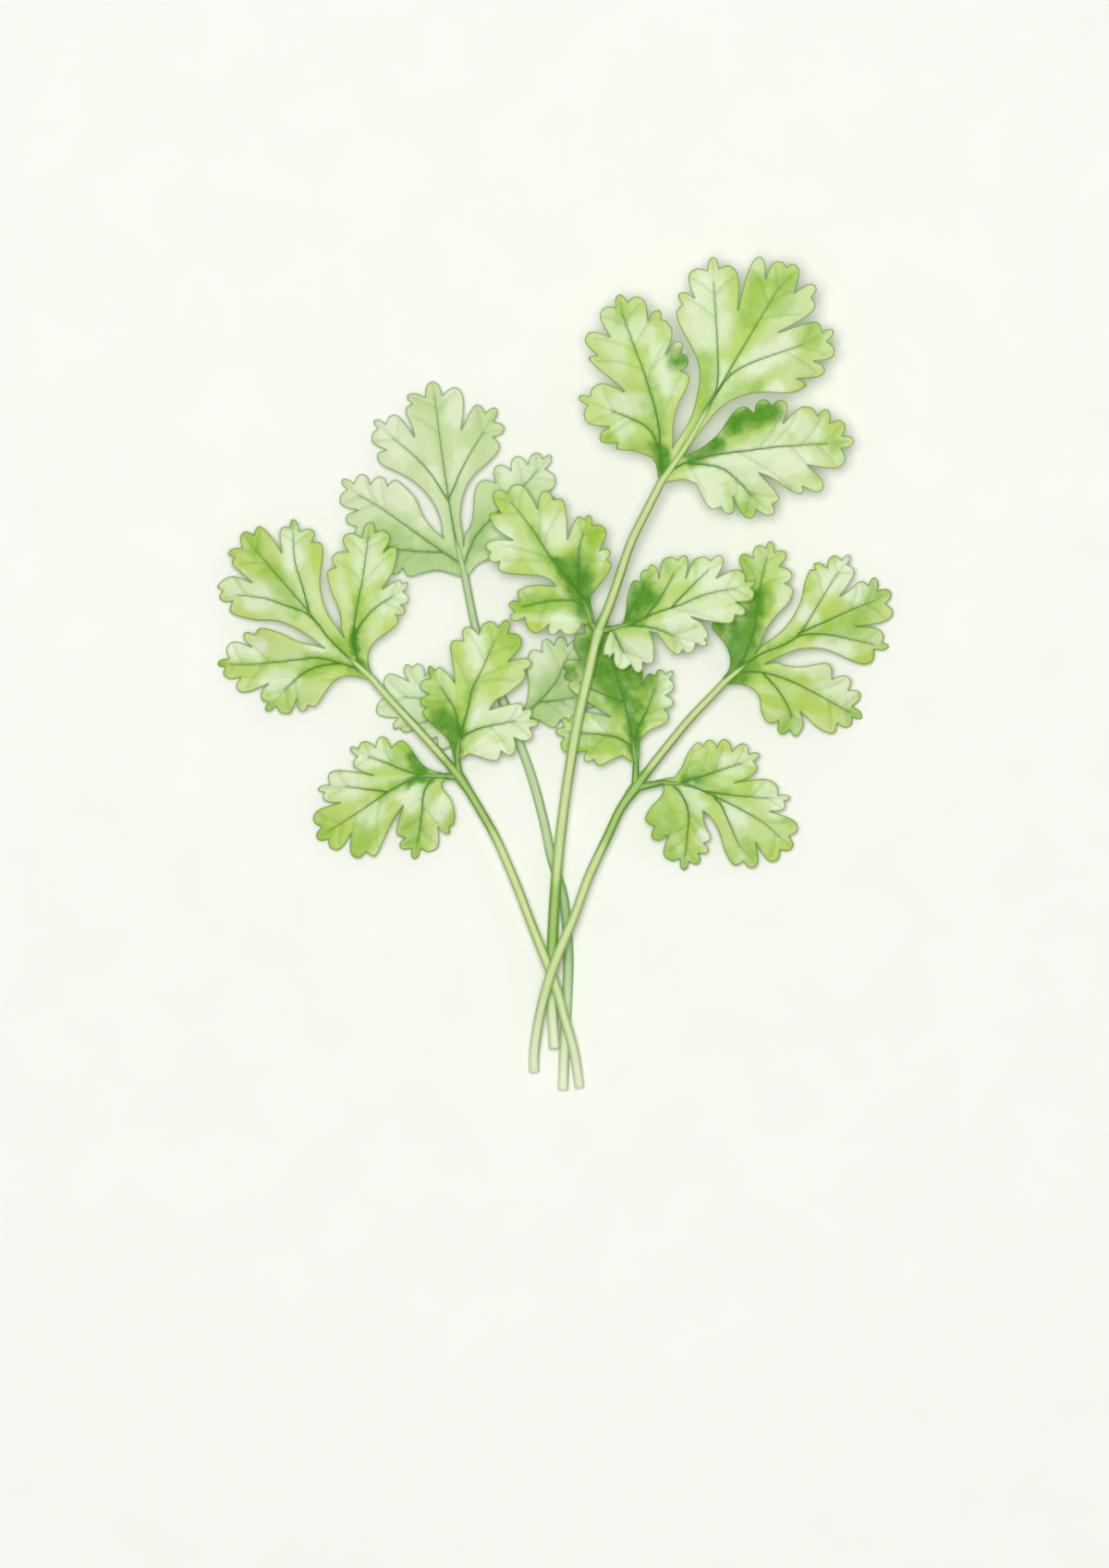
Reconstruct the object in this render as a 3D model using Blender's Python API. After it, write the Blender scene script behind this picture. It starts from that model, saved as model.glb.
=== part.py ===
# Coriander bunch: four cut sprigs that lie across each other on a table.
# Each sprig is one stalk with two short side stalks, and carries three leaves:
# one of three leaflets at its end, and a broad lobed leaf on each side of its node.
# Plan positions are millimetres on the table, +Y towards the leafy end.

import bpy
import bmesh
import math
from mathutils import Vector, noise
from mathutils.geometry import delaunay_2d_cdt, intersect_point_line

MM = 0.001

# Driving sizes, in millimetres
BLADE_THICKNESS = 0.8
JOIN_GAP = 0.3
GRID_STEP = 4.2
GRID_MARGIN = 1.3
SHORTEST_EDGE = 0.25
NOTCH_DEPTH = 0.6
NARROW_TOOTH = 1.2
SHOULDER_PLACE = 0.42
SHOULDER_BULGE = 0.2
DEEP_NOTCH = math.radians(205)
LONG_SIDE = 4.0
LONG_SIDE_PLACES = (0.16, 0.48)
WIDEST_BULGE = 0.9
LOBE_ROOM = 1.0
PILLOW_RISE = 0.5
PILLOW_WIDTH = 2.6
RIPPLE_RISE = 0.7
RIPPLE_LENGTH = 9.0
RIPPLE_WIDTH = 4.0
STALK_STEP = 5.0
SIDE_STALK_STEP = 1.6
SIDE_STALK_RADIUS = 0.85
SIDE_STALK_LIFT = 0.05
SMOOTH_UNDER = math.radians(50)
WELD = 0.01
SAME_PLACE = 0.001
REST_CUT_DEPTH = 5.0
REST_CUT_SIDE = 220.0

# The plan point that becomes the origin: the middle of the bunch's box
PLAN_CENTRE = Vector((0.1, 0.2, 0.0))


def edge(*points):
    """Plain outline points, as (x, y, is_tooth)."""
    return [(x, y, False) for x, y in points]


def teeth(*points):
    """Tooth tips; a notch is cut between two tips in a row."""
    return [(x, y, True) for x, y in points]


# Stalks: centre line (x, y, z) from the cut end to the leaf, with the radius at
# the cut end, at the node and at the leaf. The node is the point where the side
# stalks leave, given by its place in the list.
STALKS = {
    "stalk_left": {
        "radii": (1.15, 1.0, 0.88),
        "node": 10,
        "line": [(5.4, -89.4, 1.5), (4.2, -81.4, 3.0), (2.2, -74.6, 4.5), (0.4, -67.8, 4.9),
                 (-2.0, -61.6, 4.9), (-5.2, -53.6, 4.8), (-8.0, -46.2, 4.7), (-12.0, -36.8, 4.7),
                 (-13.4, -34.0, 4.8), (-17.4, -27.2, 5.0), (-20.6, -22.2, 5.2),
                 (-25.2, -16.8, 5.6), (-30.6, -10.8, 6.0), (-36.0, -5.0, 6.4), (-39.6, -0.8, 6.6)],
        "side_ends": [(-21.1, -18.4, 5.4), (-23.6, -22.0, 5.2)],
    },
    "stalk_back": {
        "radii": (1.25, 1.05, 0.9),
        "node": 11,
        "line": [(1.8, -90.0, 1.1), (2.0, -83.6, 1.1), (2.4, -75.6, 1.1), (2.8, -67.8, 1.1),
                 (3.0, -60.0, 1.1), (2.4, -52.0, 1.1), (1.8, -47.4, 1.1), (-0.8, -39.4, 1.1),
                 (-2.0, -33.2, 1.1), (-4.6, -23.2, 1.2), (-7.6, -14.8, 1.4), (-10.2, -8.2, 1.8),
                 (-13.4, 0.0, 2.2), (-16.6, 8.0, 2.6), (-18.0, 14.0, 2.9), (-19.4, 21.2, 3.1)],
        "side_ends": [(-12.6, -8.8, 2.2), (-7.2, -9.0, 2.2)],
    },
    "stalk_centre": {
        "radii": (1.3, 1.15, 0.95),
        "node": 11,
        "line": [(0.0, -81.0, 3.1), (-0.6, -72.0, 2.1), (-0.8, -66.0, 2.0), (-0.6, -60.0, 2.4),
                 (-0.2, -52.0, 3.4), (0.4, -43.6, 4.3), (1.2, -35.2, 5.0), (2.4, -25.8, 5.8),
                 (3.8, -16.8, 6.8), (5.0, -10.0, 7.6), (7.6, 1.4, 9.0), (9.4, 9.2, 10.0),
                 (11.4, 13.8, 10.6), (13.8, 20.6, 11.6), (16.4, 28.4, 12.6), (20.0, 35.6, 13.4),
                 (23.1, 41.7, 14.0)],
        "side_ends": [(7.8, 11.2, 10.2), (12.0, 9.8, 10.2)],
    },
    "stalk_right": {
        "radii": (1.2, 1.05, 0.88),
        "node": 9,
        "line": [(-4.4, -86.0, 1.6), (-4.6, -83.0, 2.4), (-3.4, -74.6, 4.8), (-1.2, -65.8, 7.7),
                 (1.6, -58.4, 7.6), (4.4, -52.0, 7.0), (7.4, -43.6, 6.4), (11.6, -34.8, 6.0),
                 (14.2, -29.0, 5.8), (17.4, -24.6, 5.7), (20.8, -20.0, 5.8), (24.8, -15.0, 6.0),
                 (29.0, -9.8, 6.3), (33.8, -4.8, 6.6), (36.6, -1.8, 6.7)],
        "side_ends": [(17.6, -19.2, 5.8), (23.2, -23.3, 5.9)],
    },
}

# Leaves: each leaflet's outline in order, from one side of the neck to the other,
# and the main ribs as (x, y, z), which carry the blade's height.
LEAVES = {
    "leaf_centre_top": {
        "leaflets": [
            edge((23.6, 43.4), (25.8, 49.6), (29.4, 54.8), (30.8, 60.2), (31.4, 64.2), (30.8, 68.4),
                 (27.0, 75.0))
            + teeth((26.2, 77.4), (26.8, 82.4)) + edge((30.2, 81.2))
            + teeth((29.6, 87.2), (34.2, 90.4), (38.6, 88.0)) + edge((39.6, 78.6))
            + teeth((44.0, 90.4)) + edge((45.6, 85.4)) + teeth((48.6, 89.2), (52.0, 88.6))
            + edge((51.8, 82.4)) + teeth((56.6, 83.8), (56.2, 78.8)) + edge((48.4, 73.8))
            + teeth((56.6, 76.2), (60.4, 74.4), (60.6, 69.6)) + edge((56.0, 67.6))
            + teeth((58.6, 65.6)) + edge((52.4, 63.8)) + teeth((54.6, 62.0))
            + edge((51.0, 60.4), (45.0, 61.0), (40.0, 60.0), (36.0, 57.8), (32.0, 53.2),
                   (28.6, 47.8), (25.0, 43.0)),
            edge((24.0, 41.3), (25.0, 43.2), (25.6, 49.6), (25.6, 53.6), (26.4, 57.8),
                 (28.2, 61.0))
            + teeth((29.4, 63.6), (29.0, 67.6), (27.4, 71.8)) + edge((24.0, 69.0))
            + teeth((24.8, 75.4), (22.6, 78.8)) + edge((20.2, 76.2))
            + teeth((18.2, 81.6), (13.8, 82.2), (10.2, 78.8)) + edge((12.0, 72.8))
            + teeth((6.8, 73.2)) + edge((9.2, 68.8)) + teeth((7.0, 68.0))
            + edge((10.2, 65.2), (13.8, 62.4), (15.0, 61.0))
            + teeth((8.8, 62.4), (5.0, 60.0), (6.4, 55.4)) + edge((11.8, 53.4))
            + teeth((9.6, 51.0)) + edge((13.6, 50.0)) + teeth((13.2, 48.4))
            + edge((17.6, 48.2), (21.2, 46.6), (22.2, 44.6), (22.2, 42.1)),
            edge((22.2, 42.1), (23.4, 43.8), (28.6, 47.4), (31.8, 48.8), (35.6, 52.0),
                 (38.0, 56.0))
            + teeth((40.0, 57.8), (44.6, 59.4), (49.4, 59.2)) + edge((49.4, 54.2))
            + teeth((55.0, 57.8), (59.0, 57.4), (62.6, 54.6), (65.0, 50.4), (62.6, 45.4))
            + edge((54.6, 45.2)) + teeth((58.0, 40.0)) + edge((53.6, 40.6))
            + teeth((53.4, 38.6)) + edge((50.0, 40.0), (47.4, 42.2), (44.2, 43.4), (46.6, 41.0))
            + teeth((48.8, 38.4), (47.4, 34.4)) + edge((43.6, 35.6)) + teeth((42.4, 33.6))
            + edge((38.6, 38.4)) + teeth((37.8, 34.4), (33.4, 35.8))
            + edge((31.8, 38.0), (30.6, 41.0), (28.6, 42.0), (26.2, 41.8), (24.0, 41.3)),
        ],
        "ribs": [
            [(23.1, 41.7, 14.0), (28.6, 49.6, 15.2), (32.8, 57.4, 16.6), (35.2, 70.0, 17.6),
             (34.2, 89.0, 13.6)],
            [(23.1, 41.7, 14.0), (28.6, 49.6, 15.2), (34.4, 59.8, 17.0), (40.0, 69.4, 18.4),
             (50.0, 86.0, 14.6)],
            [(23.1, 41.7, 14.0), (28.6, 49.6, 15.2), (34.4, 59.8, 17.0), (40.0, 66.0, 17.8),
             (56.0, 72.0, 13.4)],
            [(23.1, 41.7, 14.0), (22.4, 54.0, 16.2), (19.6, 64.2, 17.6), (16.2, 73.4, 16.8),
             (14.0, 81.0, 13.8)],
            [(23.1, 41.7, 14.0), (22.8, 50.4, 15.2), (19.6, 53.6, 15.4), (10.2, 57.8, 13.0)],
            [(23.1, 41.7, 14.0), (28.6, 45.8, 14.8), (34.8, 47.4, 15.8), (41.0, 48.2, 16.4),
             (49.2, 49.2, 15.2), (61.4, 50.0, 11.4)],
            [(23.1, 41.7, 14.0), (30.6, 45.4, 14.8), (35.2, 44.8, 14.6), (39.2, 42.2, 13.8),
             (44.2, 36.8, 11.4)],
        ],
    },
    "leaf_centre_left": {
        "leaflets": [
            edge((8.4, 11.8), (8.7, 12.6), (7.8, 15.0), (7.8, 16.8), (10.0, 19.6))
            + teeth((12.4, 23.0), (12.2, 26.8)) + edge((9.8, 26.8))
            + teeth((10.6, 32.0), (7.6, 34.6), (5.0, 34.2)) + edge((2.8, 29.2), (2.8, 33.4))
            + teeth((2.2, 37.6), (-1.6, 39.8)) + edge((-3.6, 35.8))
            + teeth((-8.2, 41.2), (-12.8, 39.8)) + edge((-11.6, 34.8)) + teeth((-14.4, 34.4))
            + edge((-12.8, 31.2), (-9.0, 29.0)) + teeth((-15.0, 27.8), (-14.2, 24.6), (-11.8, 22.0))
            + edge((-7.4, 21.4), (-3.6, 21.4), (-0.8, 20.4), (0.2, 19.0), (-4.4, 19.6))
            + teeth((-7.8, 18.4), (-10.0, 15.4), (-9.8, 11.8), (-5.0, 9.2)) + edge((-1.2, 10.8))
            + teeth((-1.0, 8.4), (3.4, 8.4)) + edge((6.0, 11.0), (7.1, 10.6)),
        ],
        "ribs": [
            [(7.8, 11.2, 10.2), (6.8, 14.6, 11.0), (4.6, 18.4, 11.8), (1.4, 22.6, 12.4),
             (-1.6, 26.4, 12.0), (-4.4, 30.8, 11.0), (-8.2, 35.8, 9.4), (-11.0, 39.0, 8.2)],
            [(7.8, 11.2, 10.2), (6.8, 13.8, 10.9), (0.2, 16.0, 10.6), (-5.4, 15.0, 9.4),
             (-9.0, 14.0, 8.8)],
            [(7.8, 11.2, 10.2), (6.8, 14.6, 11.0), (5.2, 18.4, 11.8), (5.2, 23.8, 12.6),
             (5.4, 27.6, 12.0), (7.0, 33.6, 10.2)],
        ],
    },
    "leaf_centre_right": {
        "leaflets": [
            edge((12.2, 10.6), (14.6, 10.8), (15.4, 13.0), (15.6, 16.8))
            + teeth((16.6, 20.0), (18.8, 22.2), (21.0, 24.0)) + edge((22.6, 20.8))
            + teeth((24.6, 25.4), (28.4, 25.8)) + edge((28.4, 20.8))
            + teeth((31.4, 25.4), (36.0, 25.8)) + edge((35.0, 20.8))
            + teeth((40.6, 22.2), (43.6, 20.0), (43.2, 17.2)) + edge((39.2, 15.6))
            + teeth((41.4, 13.2), (37.8, 10.8)) + edge((33.4, 11.4), (29.6, 12.4), (32.2, 11.0))
            + teeth((33.4, 8.6), (33.2, 6.2), (29.2, 4.4), (26.4, 4.0))
            + edge((24.6, 5.4), (22.2, 8.8), (20.6, 9.2), (21.6, 6.8))
            + teeth((21.6, 2.6), (18.4, 0.2), (14.0, 1.0)) + edge((12.8, 4.6))
            + teeth((11.8, 3.4), (10.4, 4.2)) + edge((10.7, 6.4), (11.8, 9.0)),
        ],
        "ribs": [
            [(12.0, 9.8, 10.2), (17.6, 11.4, 11.0), (22.2, 13.4, 11.6), (27.2, 15.0, 12.0),
             (33.0, 17.4, 12.0), (40.6, 18.8, 10.8)],
            [(12.0, 9.8, 10.2), (15.6, 10.8, 10.8), (18.4, 17.0, 11.6), (20.0, 22.4, 10.6)],
            [(12.0, 9.8, 10.2), (17.6, 11.4, 11.0), (23.4, 17.4, 11.9), (27.0, 24.8, 10.6)],
            [(12.0, 9.8, 10.2), (22.2, 13.4, 11.6), (30.0, 19.4, 12.0), (35.0, 24.8, 10.8)],
            [(12.0, 9.8, 10.2), (15.6, 10.0, 10.6), (21.4, 10.0, 10.8), (28.4, 7.2, 9.6)],
            [(12.0, 9.8, 10.2), (13.4, 8.0, 10.0), (16.2, 2.8, 8.6)],
        ],
    },
    "leaf_left_top": {
        "leaflets": [
            edge((-43.0, 0.8), (-51.8, 7.2), (-55.8, 10.0), (-60.2, 11.8), (-64.6, 11.6))
            + teeth((-70.0, 13.0), (-72.6, 16.4), (-73.2, 19.4)) + edge((-70.0, 21.8), (-65.6, 20.0))
            + teeth((-69.8, 23.6), (-70.8, 26.4), (-67.6, 30.8), (-63.6, 32.4))
            + edge((-60.6, 29.2), (-59.0, 26.4)) + teeth((-59.2, 31.6), (-56.6, 33.8), (-52.0, 31.2),
                                                        (-50.0, 28.0))
            + edge((-50.0, 25.2), (-50.6, 21.8), (-50.6, 17.8), (-49.4, 13.8), (-47.6, 11.0),
                   (-46.6, 9.6), (-41.0, 1.6)),
            edge((-42.4, 1.2), (-46.2, 9.6), (-46.2, 11.0), (-46.6, 14.2), (-48.4, 17.8))
            + teeth((-49.4, 22.0), (-48.2, 25.4), (-45.6, 30.2), (-39.8, 33.2), (-36.2, 30.8))
            + edge((-37.0, 26.4)) + teeth((-33.8, 27.6)) + edge((-34.6, 22.2), (-37.2, 18.6))
            + teeth((-33.8, 20.6), (-31.6, 20.0), (-31.4, 16.0), (-32.2, 13.2), (-33.8, 10.8))
            + edge((-36.6, 8.6), (-39.4, 6.6), (-40.4, 4.2), (-40.0, 1.2), (-39.0, -0.2),
                   (-40.3, -1.4)),
            edge((-39.0, -0.2), (-46.8, 4.8), (-52.0, 6.4), (-55.8, 7.2), (-59.0, 9.0))
            + teeth((-63.0, 10.2), (-67.4, 9.0)) + edge((-65.6, 6.0))
            + teeth((-70.8, 6.4), (-73.2, 2.4), (-71.6, -0.4)) + edge((-68.0, -0.6))
            + teeth((-68.8, -3.4)) + edge((-62.0, -2.0)) + teeth((-63.6, -5.0), (-62.6, -8.0),
                                                                 (-58.4, -8.6))
            + edge((-55.8, -5.2)) + teeth((-54.6, -8.2), (-51.4, -6.8))
            + edge((-50.0, -4.6), (-47.8, -1.4), (-45.2, -0.2), (-42.2, -0.6), (-40.3, -1.4)),
        ],
        "ribs": [
            [(-39.6, -0.8, 6.6), (-42.2, 1.6, 7.0), (-48.4, 7.4, 8.2), (-53.2, 13.6, 9.2),
             (-56.8, 17.8, 8.8), (-60.8, 22.4, 7.4), (-65.6, 28.4, 4.6)],
            [(-39.6, -0.8, 6.6), (-48.4, 7.4, 8.2), (-53.2, 14.2, 9.2), (-54.6, 19.4, 9.2),
             (-56.2, 24.8, 8.4), (-56.6, 33.0, 6.0)],
            [(-39.6, -0.8, 6.6), (-48.4, 7.4, 8.2), (-53.8, 13.6, 8.9), (-58.4, 15.0, 7.4),
             (-63.2, 16.6, 5.2), (-71.0, 17.4, 1.8)],
            [(-39.6, -0.8, 6.6), (-42.2, 1.6, 7.0), (-43.4, 6.8, 8.0), (-43.2, 11.6, 9.2),
             (-42.2, 17.2, 9.8), (-41.4, 21.2, 9.6), (-40.0, 32.0, 7.4)],
            [(-39.6, -0.8, 6.6), (-43.2, 7.8, 8.2), (-41.2, 11.8, 9.2), (-38.2, 14.8, 9.0),
             (-33.0, 18.0, 7.6)],
            [(-39.6, -0.8, 6.6), (-42.4, 1.0, 6.9), (-46.8, 2.6, 7.4), (-51.4, 3.6, 7.2),
             (-57.4, 3.0, 5.4), (-66.2, 2.2, 2.4), (-73.0, 2.4, 0.45)],
            [(-39.6, -0.8, 6.6), (-46.8, 2.2, 7.4), (-50.8, 1.8, 7.0), (-55.0, -0.2, 5.6),
             (-60.2, -5.2, 2.8)],
        ],
    },
    "leaf_left_inner": {
        "leaflets": [
            edge((-22.0, -18.4), (-22.2, -16.2), (-23.2, -13.6), (-27.4, -10.0))
            + teeth((-28.6, -8.6), (-29.2, -6.2), (-29.2, -2.2), (-27.2, 2.0), (-24.4, 1.6))
            + edge((-22.0, -1.0), (-21.6, -1.8), (-22.0, 1.8)) + teeth((-22.8, 6.8), (-19.4, 10.4),
                                                                     (-14.4, 11.6), (-10.0, 12.0),
                                                                     (-7.2, 8.0))
            + edge((-10.0, 2.8)) + teeth((-4.8, 2.6), (-6.6, -1.4))
            + edge((-10.2, -4.4), (-12.8, -5.6), (-14.0, -7.6), (-11.6, -6.8))
            + teeth((-7.4, -6.0), (-5.0, -7.4), (-3.2, -10.4), (-4.8, -14.0), (-9.0, -17.6),
                    (-12.8, -19.0))
            + edge((-16.0, -18.0), (-18.4, -17.2), (-20.2, -18.4)),
        ],
        "ribs": [
            [(-21.1, -18.4, 5.4), (-20.6, -14.0, 6.2), (-18.8, -7.8, 7.0), (-17.8, -3.2, 7.4),
             (-16.0, 0.4, 7.4), (-13.4, 6.4, 6.8), (-12.0, 11.0, 6.0)],
            [(-21.1, -18.4, 5.4), (-20.6, -13.2, 6.3), (-21.4, -8.2, 6.8), (-26.0, -1.0, 5.8)],
            [(-21.1, -18.4, 5.4), (-20.0, -14.0, 6.2), (-16.6, -11.8, 6.8), (-12.4, -10.8, 6.8),
             (-6.0, -9.6, 5.8)],
        ],
    },
    "leaf_left_outer": {
        "leaflets": [
            edge((-23.6, -21.2), (-26.4, -20.8), (-28.6, -19.6), (-30.2, -17.2))
            + teeth((-32.4, -14.2), (-37.4, -13.2), (-41.4, -14.4), (-44.4, -15.8), (-43.6, -20.0))
            + edge((-41.4, -21.2), (-39.2, -21.8)) + teeth((-48.6, -21.0), (-51.4, -24.8),
                                                          (-50.0, -27.2))
            + edge((-46.4, -27.8)) + teeth((-52.4, -31.0), (-51.6, -35.6), (-48.0, -38.0))
            + edge((-44.0, -34.4)) + teeth((-43.0, -39.8), (-38.4, -39.4))
            + edge((-35.8, -33.0), (-32.8, -28.4), (-33.8, -31.6))
            + teeth((-34.4, -34.0), (-33.6, -37.4), (-30.4, -40.2), (-26.2, -38.2))
            + edge((-25.2, -33.0)) + teeth((-22.8, -34.6), (-21.6, -32.0))
            + edge((-21.4, -30.0), (-22.4, -26.6), (-24.2, -24.8), (-24.4, -23.4), (-23.6, -22.8)),
        ],
        "ribs": [
            [(-23.6, -22.0, 5.2), (-28.8, -22.0, 5.8), (-32.4, -23.4, 5.8), (-36.0, -25.4, 5.2),
             (-40.4, -28.4, 4.2), (-46.8, -32.6, 2.4), (-51.6, -35.4, 0.9)],
            [(-23.6, -22.0, 5.2), (-28.8, -21.8, 5.8), (-32.8, -20.6, 5.6), (-36.8, -19.0, 4.8),
             (-42.6, -17.0, 3.4)],
            [(-23.6, -22.0, 5.2), (-26.8, -22.2, 5.5), (-28.2, -25.4, 5.2), (-28.8, -30.8, 3.6),
             (-30.0, -39.0, 1.2)],
            [(-23.6, -22.0, 5.2), (-36.0, -25.4, 5.2), (-42.4, -24.6, 3.8), (-49.6, -23.6, 2.2)],
        ],
    },
    "leaf_back_top": {
        "leaflets": [
            edge((-20.6, 23.6), (-24.4, 30.2), (-24.4, 32.6), (-26.0, 37.0), (-28.4, 40.0),
                 (-31.0, 42.2), (-34.4, 44.0), (-37.6, 45.2))
            + teeth((-38.6, 47.4)) + edge((-36.4, 48.6)) + teeth((-39.6, 51.6), (-39.2, 55.2),
                                                                (-34.8, 56.4))
            + edge((-30.4, 51.6), (-31.0, 54.0)) + teeth((-32.4, 57.0), (-32.0, 60.6),
                                                        (-26.6, 63.8), (-20.6, 62.2))
            + edge((-19.6, 60.0), (-19.6, 57.0), (-20.2, 53.0))
            + teeth((-17.0, 58.6), (-12.4, 57.8), (-10.6, 53.2), (-11.8, 48.6))
            + edge((-14.0, 46.0), (-17.4, 43.4), (-19.4, 40.0), (-20.2, 36.6), (-20.4, 33.4),
                   (-19.8, 30.8), (-19.6, 23.6)),
            edge((-18.5, 21.4), (-20.0, 25.0), (-24.6, 30.2), (-25.6, 30.8), (-28.4, 34.0),
                 (-29.8, 38.0), (-31.6, 40.0))
            + teeth((-34.0, 42.2), (-37.6, 43.0), (-41.6, 43.6), (-46.2, 42.4), (-46.6, 38.0))
            + edge((-42.6, 35.6)) + teeth((-45.4, 33.6), (-43.0, 29.0), (-41.0, 26.0),
                                          (-38.0, 23.6), (-35.0, 21.6), (-31.2, 21.0))
            + edge((-28.4, 22.0), (-25.6, 22.6), (-23.0, 22.0), (-20.3, 21.0)),
            edge((-20.0, 25.0), (-19.4, 30.8), (-18.2, 32.0), (-17.6, 35.0), (-17.4, 39.4))
            + teeth((-16.6, 41.6), (-12.6, 45.4), (-8.4, 47.4), (-4.0, 48.2), (-0.6, 47.6),
                    (0.4, 42.0), (0.8, 37.0), (-1.0, 33.0), (-5.0, 30.0), (-9.0, 27.6))
            + edge((-13.0, 25.6), (-15.4, 24.4), (-17.0, 23.6), (-18.5, 21.4), (-20.3, 21.0)),
        ],
        "ribs": [
            [(-19.4, 21.2, 3.1), (-21.4, 29.4, 3.8), (-22.6, 36.0, 4.4), (-23.2, 40.0, 4.8),
             (-24.6, 49.4, 4.6), (-25.6, 57.4, 3.4), (-26.4, 63.0, 1.6)],
            [(-19.4, 21.2, 3.1), (-22.6, 36.0, 4.4), (-23.4, 39.0, 4.8), (-28.4, 45.4, 4.2),
             (-37.0, 53.0, 2.2)],
            [(-19.4, 21.2, 3.1), (-22.6, 36.0, 4.4), (-22.6, 38.6, 4.8), (-19.0, 46.6, 4.6),
             (-14.0, 54.6, 2.8)],
            [(-19.4, 21.2, 3.1), (-22.4, 25.0, 3.5), (-27.6, 29.0, 3.8), (-32.4, 32.4, 3.6),
             (-39.0, 37.0, 2.4), (-45.6, 40.6, 1.0)],
            [(-19.4, 21.2, 3.1), (-24.6, 26.0, 3.6), (-33.0, 27.0, 3.2), (-40.0, 28.4, 2.4)],
            [(-19.4, 21.2, 3.1), (-18.6, 26.6, 3.6), (-17.0, 30.0, 3.9), (-14.4, 33.0, 4.2),
             (-8.0, 39.4, 4.0), (-2.0, 46.0, 2.8)],
        ],
    },
    "leaf_back_left": {
        "leaflets": [
            edge((-12.6, -8.0), (-16.0, -6.0), (-20.0, -3.0))
            + teeth((-22.4, -0.6), (-25.4, 1.0), (-29.2, 2.4), (-32.4, 2.2)) + edge((-31.6, -1.4))
            + teeth((-36.8, -0.4), (-38.8, -7.6)) + edge((-34.0, -9.4))
            + teeth((-35.0, -11.8), (-32.4, -12.6), (-28.8, -13.8), (-24.2, -16.6))
            + edge((-20.0, -14.2), (-16.0, -12.0), (-12.6, -9.6)),
        ],
        "ribs": [
            [(-12.6, -8.8, 2.2), (-20.0, -7.0, 2.8), (-28.0, -5.4, 2.9), (-37.4, -4.4, 1.8)],
            [(-12.6, -8.8, 2.2), (-24.0, -8.6, 2.7), (-31.6, -11.6, 1.9)],
        ],
    },
    "leaf_back_right": {
        "leaflets": [
            edge((-7.4, -8.2), (-6.0, -6.4), (-5.6, -2.0), (-6.2, 1.8))
            + teeth((-5.6, 5.0), (-2.2, 7.8), (1.4, 8.4), (5.0, 7.6), (8.4, 5.2), (9.6, 1.4),
                    (8.6, -2.6), (9.0, -6.6), (7.0, -9.6), (3.6, -11.4), (-0.6, -11.8))
            + edge((-3.4, -9.8), (-5.4, -9.4), (-7.0, -9.8)),
        ],
        "ribs": [
            [(-7.2, -9.0, 2.2), (-4.8, -7.2, 2.5), (-0.6, -2.8, 3.1), (2.0, 2.0, 3.1),
             (4.0, 6.4, 2.7)],
            [(-7.2, -9.0, 2.2), (-3.0, -7.0, 2.6), (7.0, -4.4, 2.8)],
        ],
    },
    "leaf_right_top": {
        "leaflets": [
            edge((35.9, -1.2), (37.6, 0.6), (38.2, 3.2), (37.2, 6.2), (35.8, 8.0))
            + teeth((34.0, 9.8), (33.0, 14.0), (35.0, 18.0), (37.4, 21.8), (40.2, 26.0),
                    (43.8, 28.0), (46.8, 29.0), (50.2, 26.6), (51.6, 21.6), (51.8, 18.0))
            + edge((51.0, 15.6), (48.8, 13.6), (46.6, 11.0), (45.4, 8.6), (44.8, 6.6), (40.6, 0.8),
                   (37.3, -2.4)),
            edge((40.2, 1.2), (45.2, 6.6), (47.2, 7.8), (49.6, 9.8), (51.8, 12.8), (53.4, 16.2),
                 (54.0, 19.8))
            + teeth((55.0, 22.4), (56.2, 24.2), (60.2, 25.8), (64.0, 26.0), (65.0, 22.2))
            + edge((61.8, 17.0), (63.6, 18.0)) + teeth((65.8, 20.2), (69.4, 21.2), (73.0, 18.0),
                                                      (73.4, 13.0))
            + edge((65.2, 10.4)) + teeth((71.2, 8.8), (72.6, 6.0), (68.2, 2.2))
            + edge((65.8, 2.2), (62.8, 3.6), (59.4, 5.2), (55.8, 5.8), (51.6, 5.2), (48.2, 3.6),
                   (40.6, -0.2)),
            edge((40.2, 1.2), (48.2, 2.8), (50.0, 2.0), (52.8, 1.6), (56.4, 2.2))
            + teeth((59.0, 2.8), (64.0, -0.6), (66.4, -4.0), (66.8, -9.4), (63.8, -11.4),
                    (60.0, -13.0))
            + edge((57.0, -11.8), (53.2, -8.0), (54.2, -10.8)) + teeth((52.6, -13.6), (48.8, -13.0),
                                                                     (45.6, -10.2))
            + edge((44.6, -8.0), (44.4, -5.0), (43.2, -3.2), (41.0, -2.2), (38.8, -2.0),
                   (37.3, -2.4), (35.9, -1.2)),
        ],
        "ribs": [
            [(36.6, -1.8, 6.7), (39.8, 1.2, 6.9), (41.6, 5.0, 7.2), (43.2, 9.8, 7.4),
             (43.8, 14.4, 7.4), (44.8, 20.6, 6.8), (46.6, 28.0, 5.2)],
            [(36.6, -1.8, 6.7), (40.2, 1.2, 6.9), (44.6, 4.4, 7.6), (50.0, 6.6, 8.2),
             (53.4, 9.4, 8.4), (58.4, 17.4, 7.4), (63.0, 25.0, 4.8)],
            [(36.6, -1.8, 6.7), (44.6, 4.4, 7.6), (50.0, 6.6, 8.2), (54.0, 9.8, 8.2),
             (59.4, 11.8, 7.2), (65.2, 14.4, 5.2), (72.4, 17.4, 1.8)],
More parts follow.
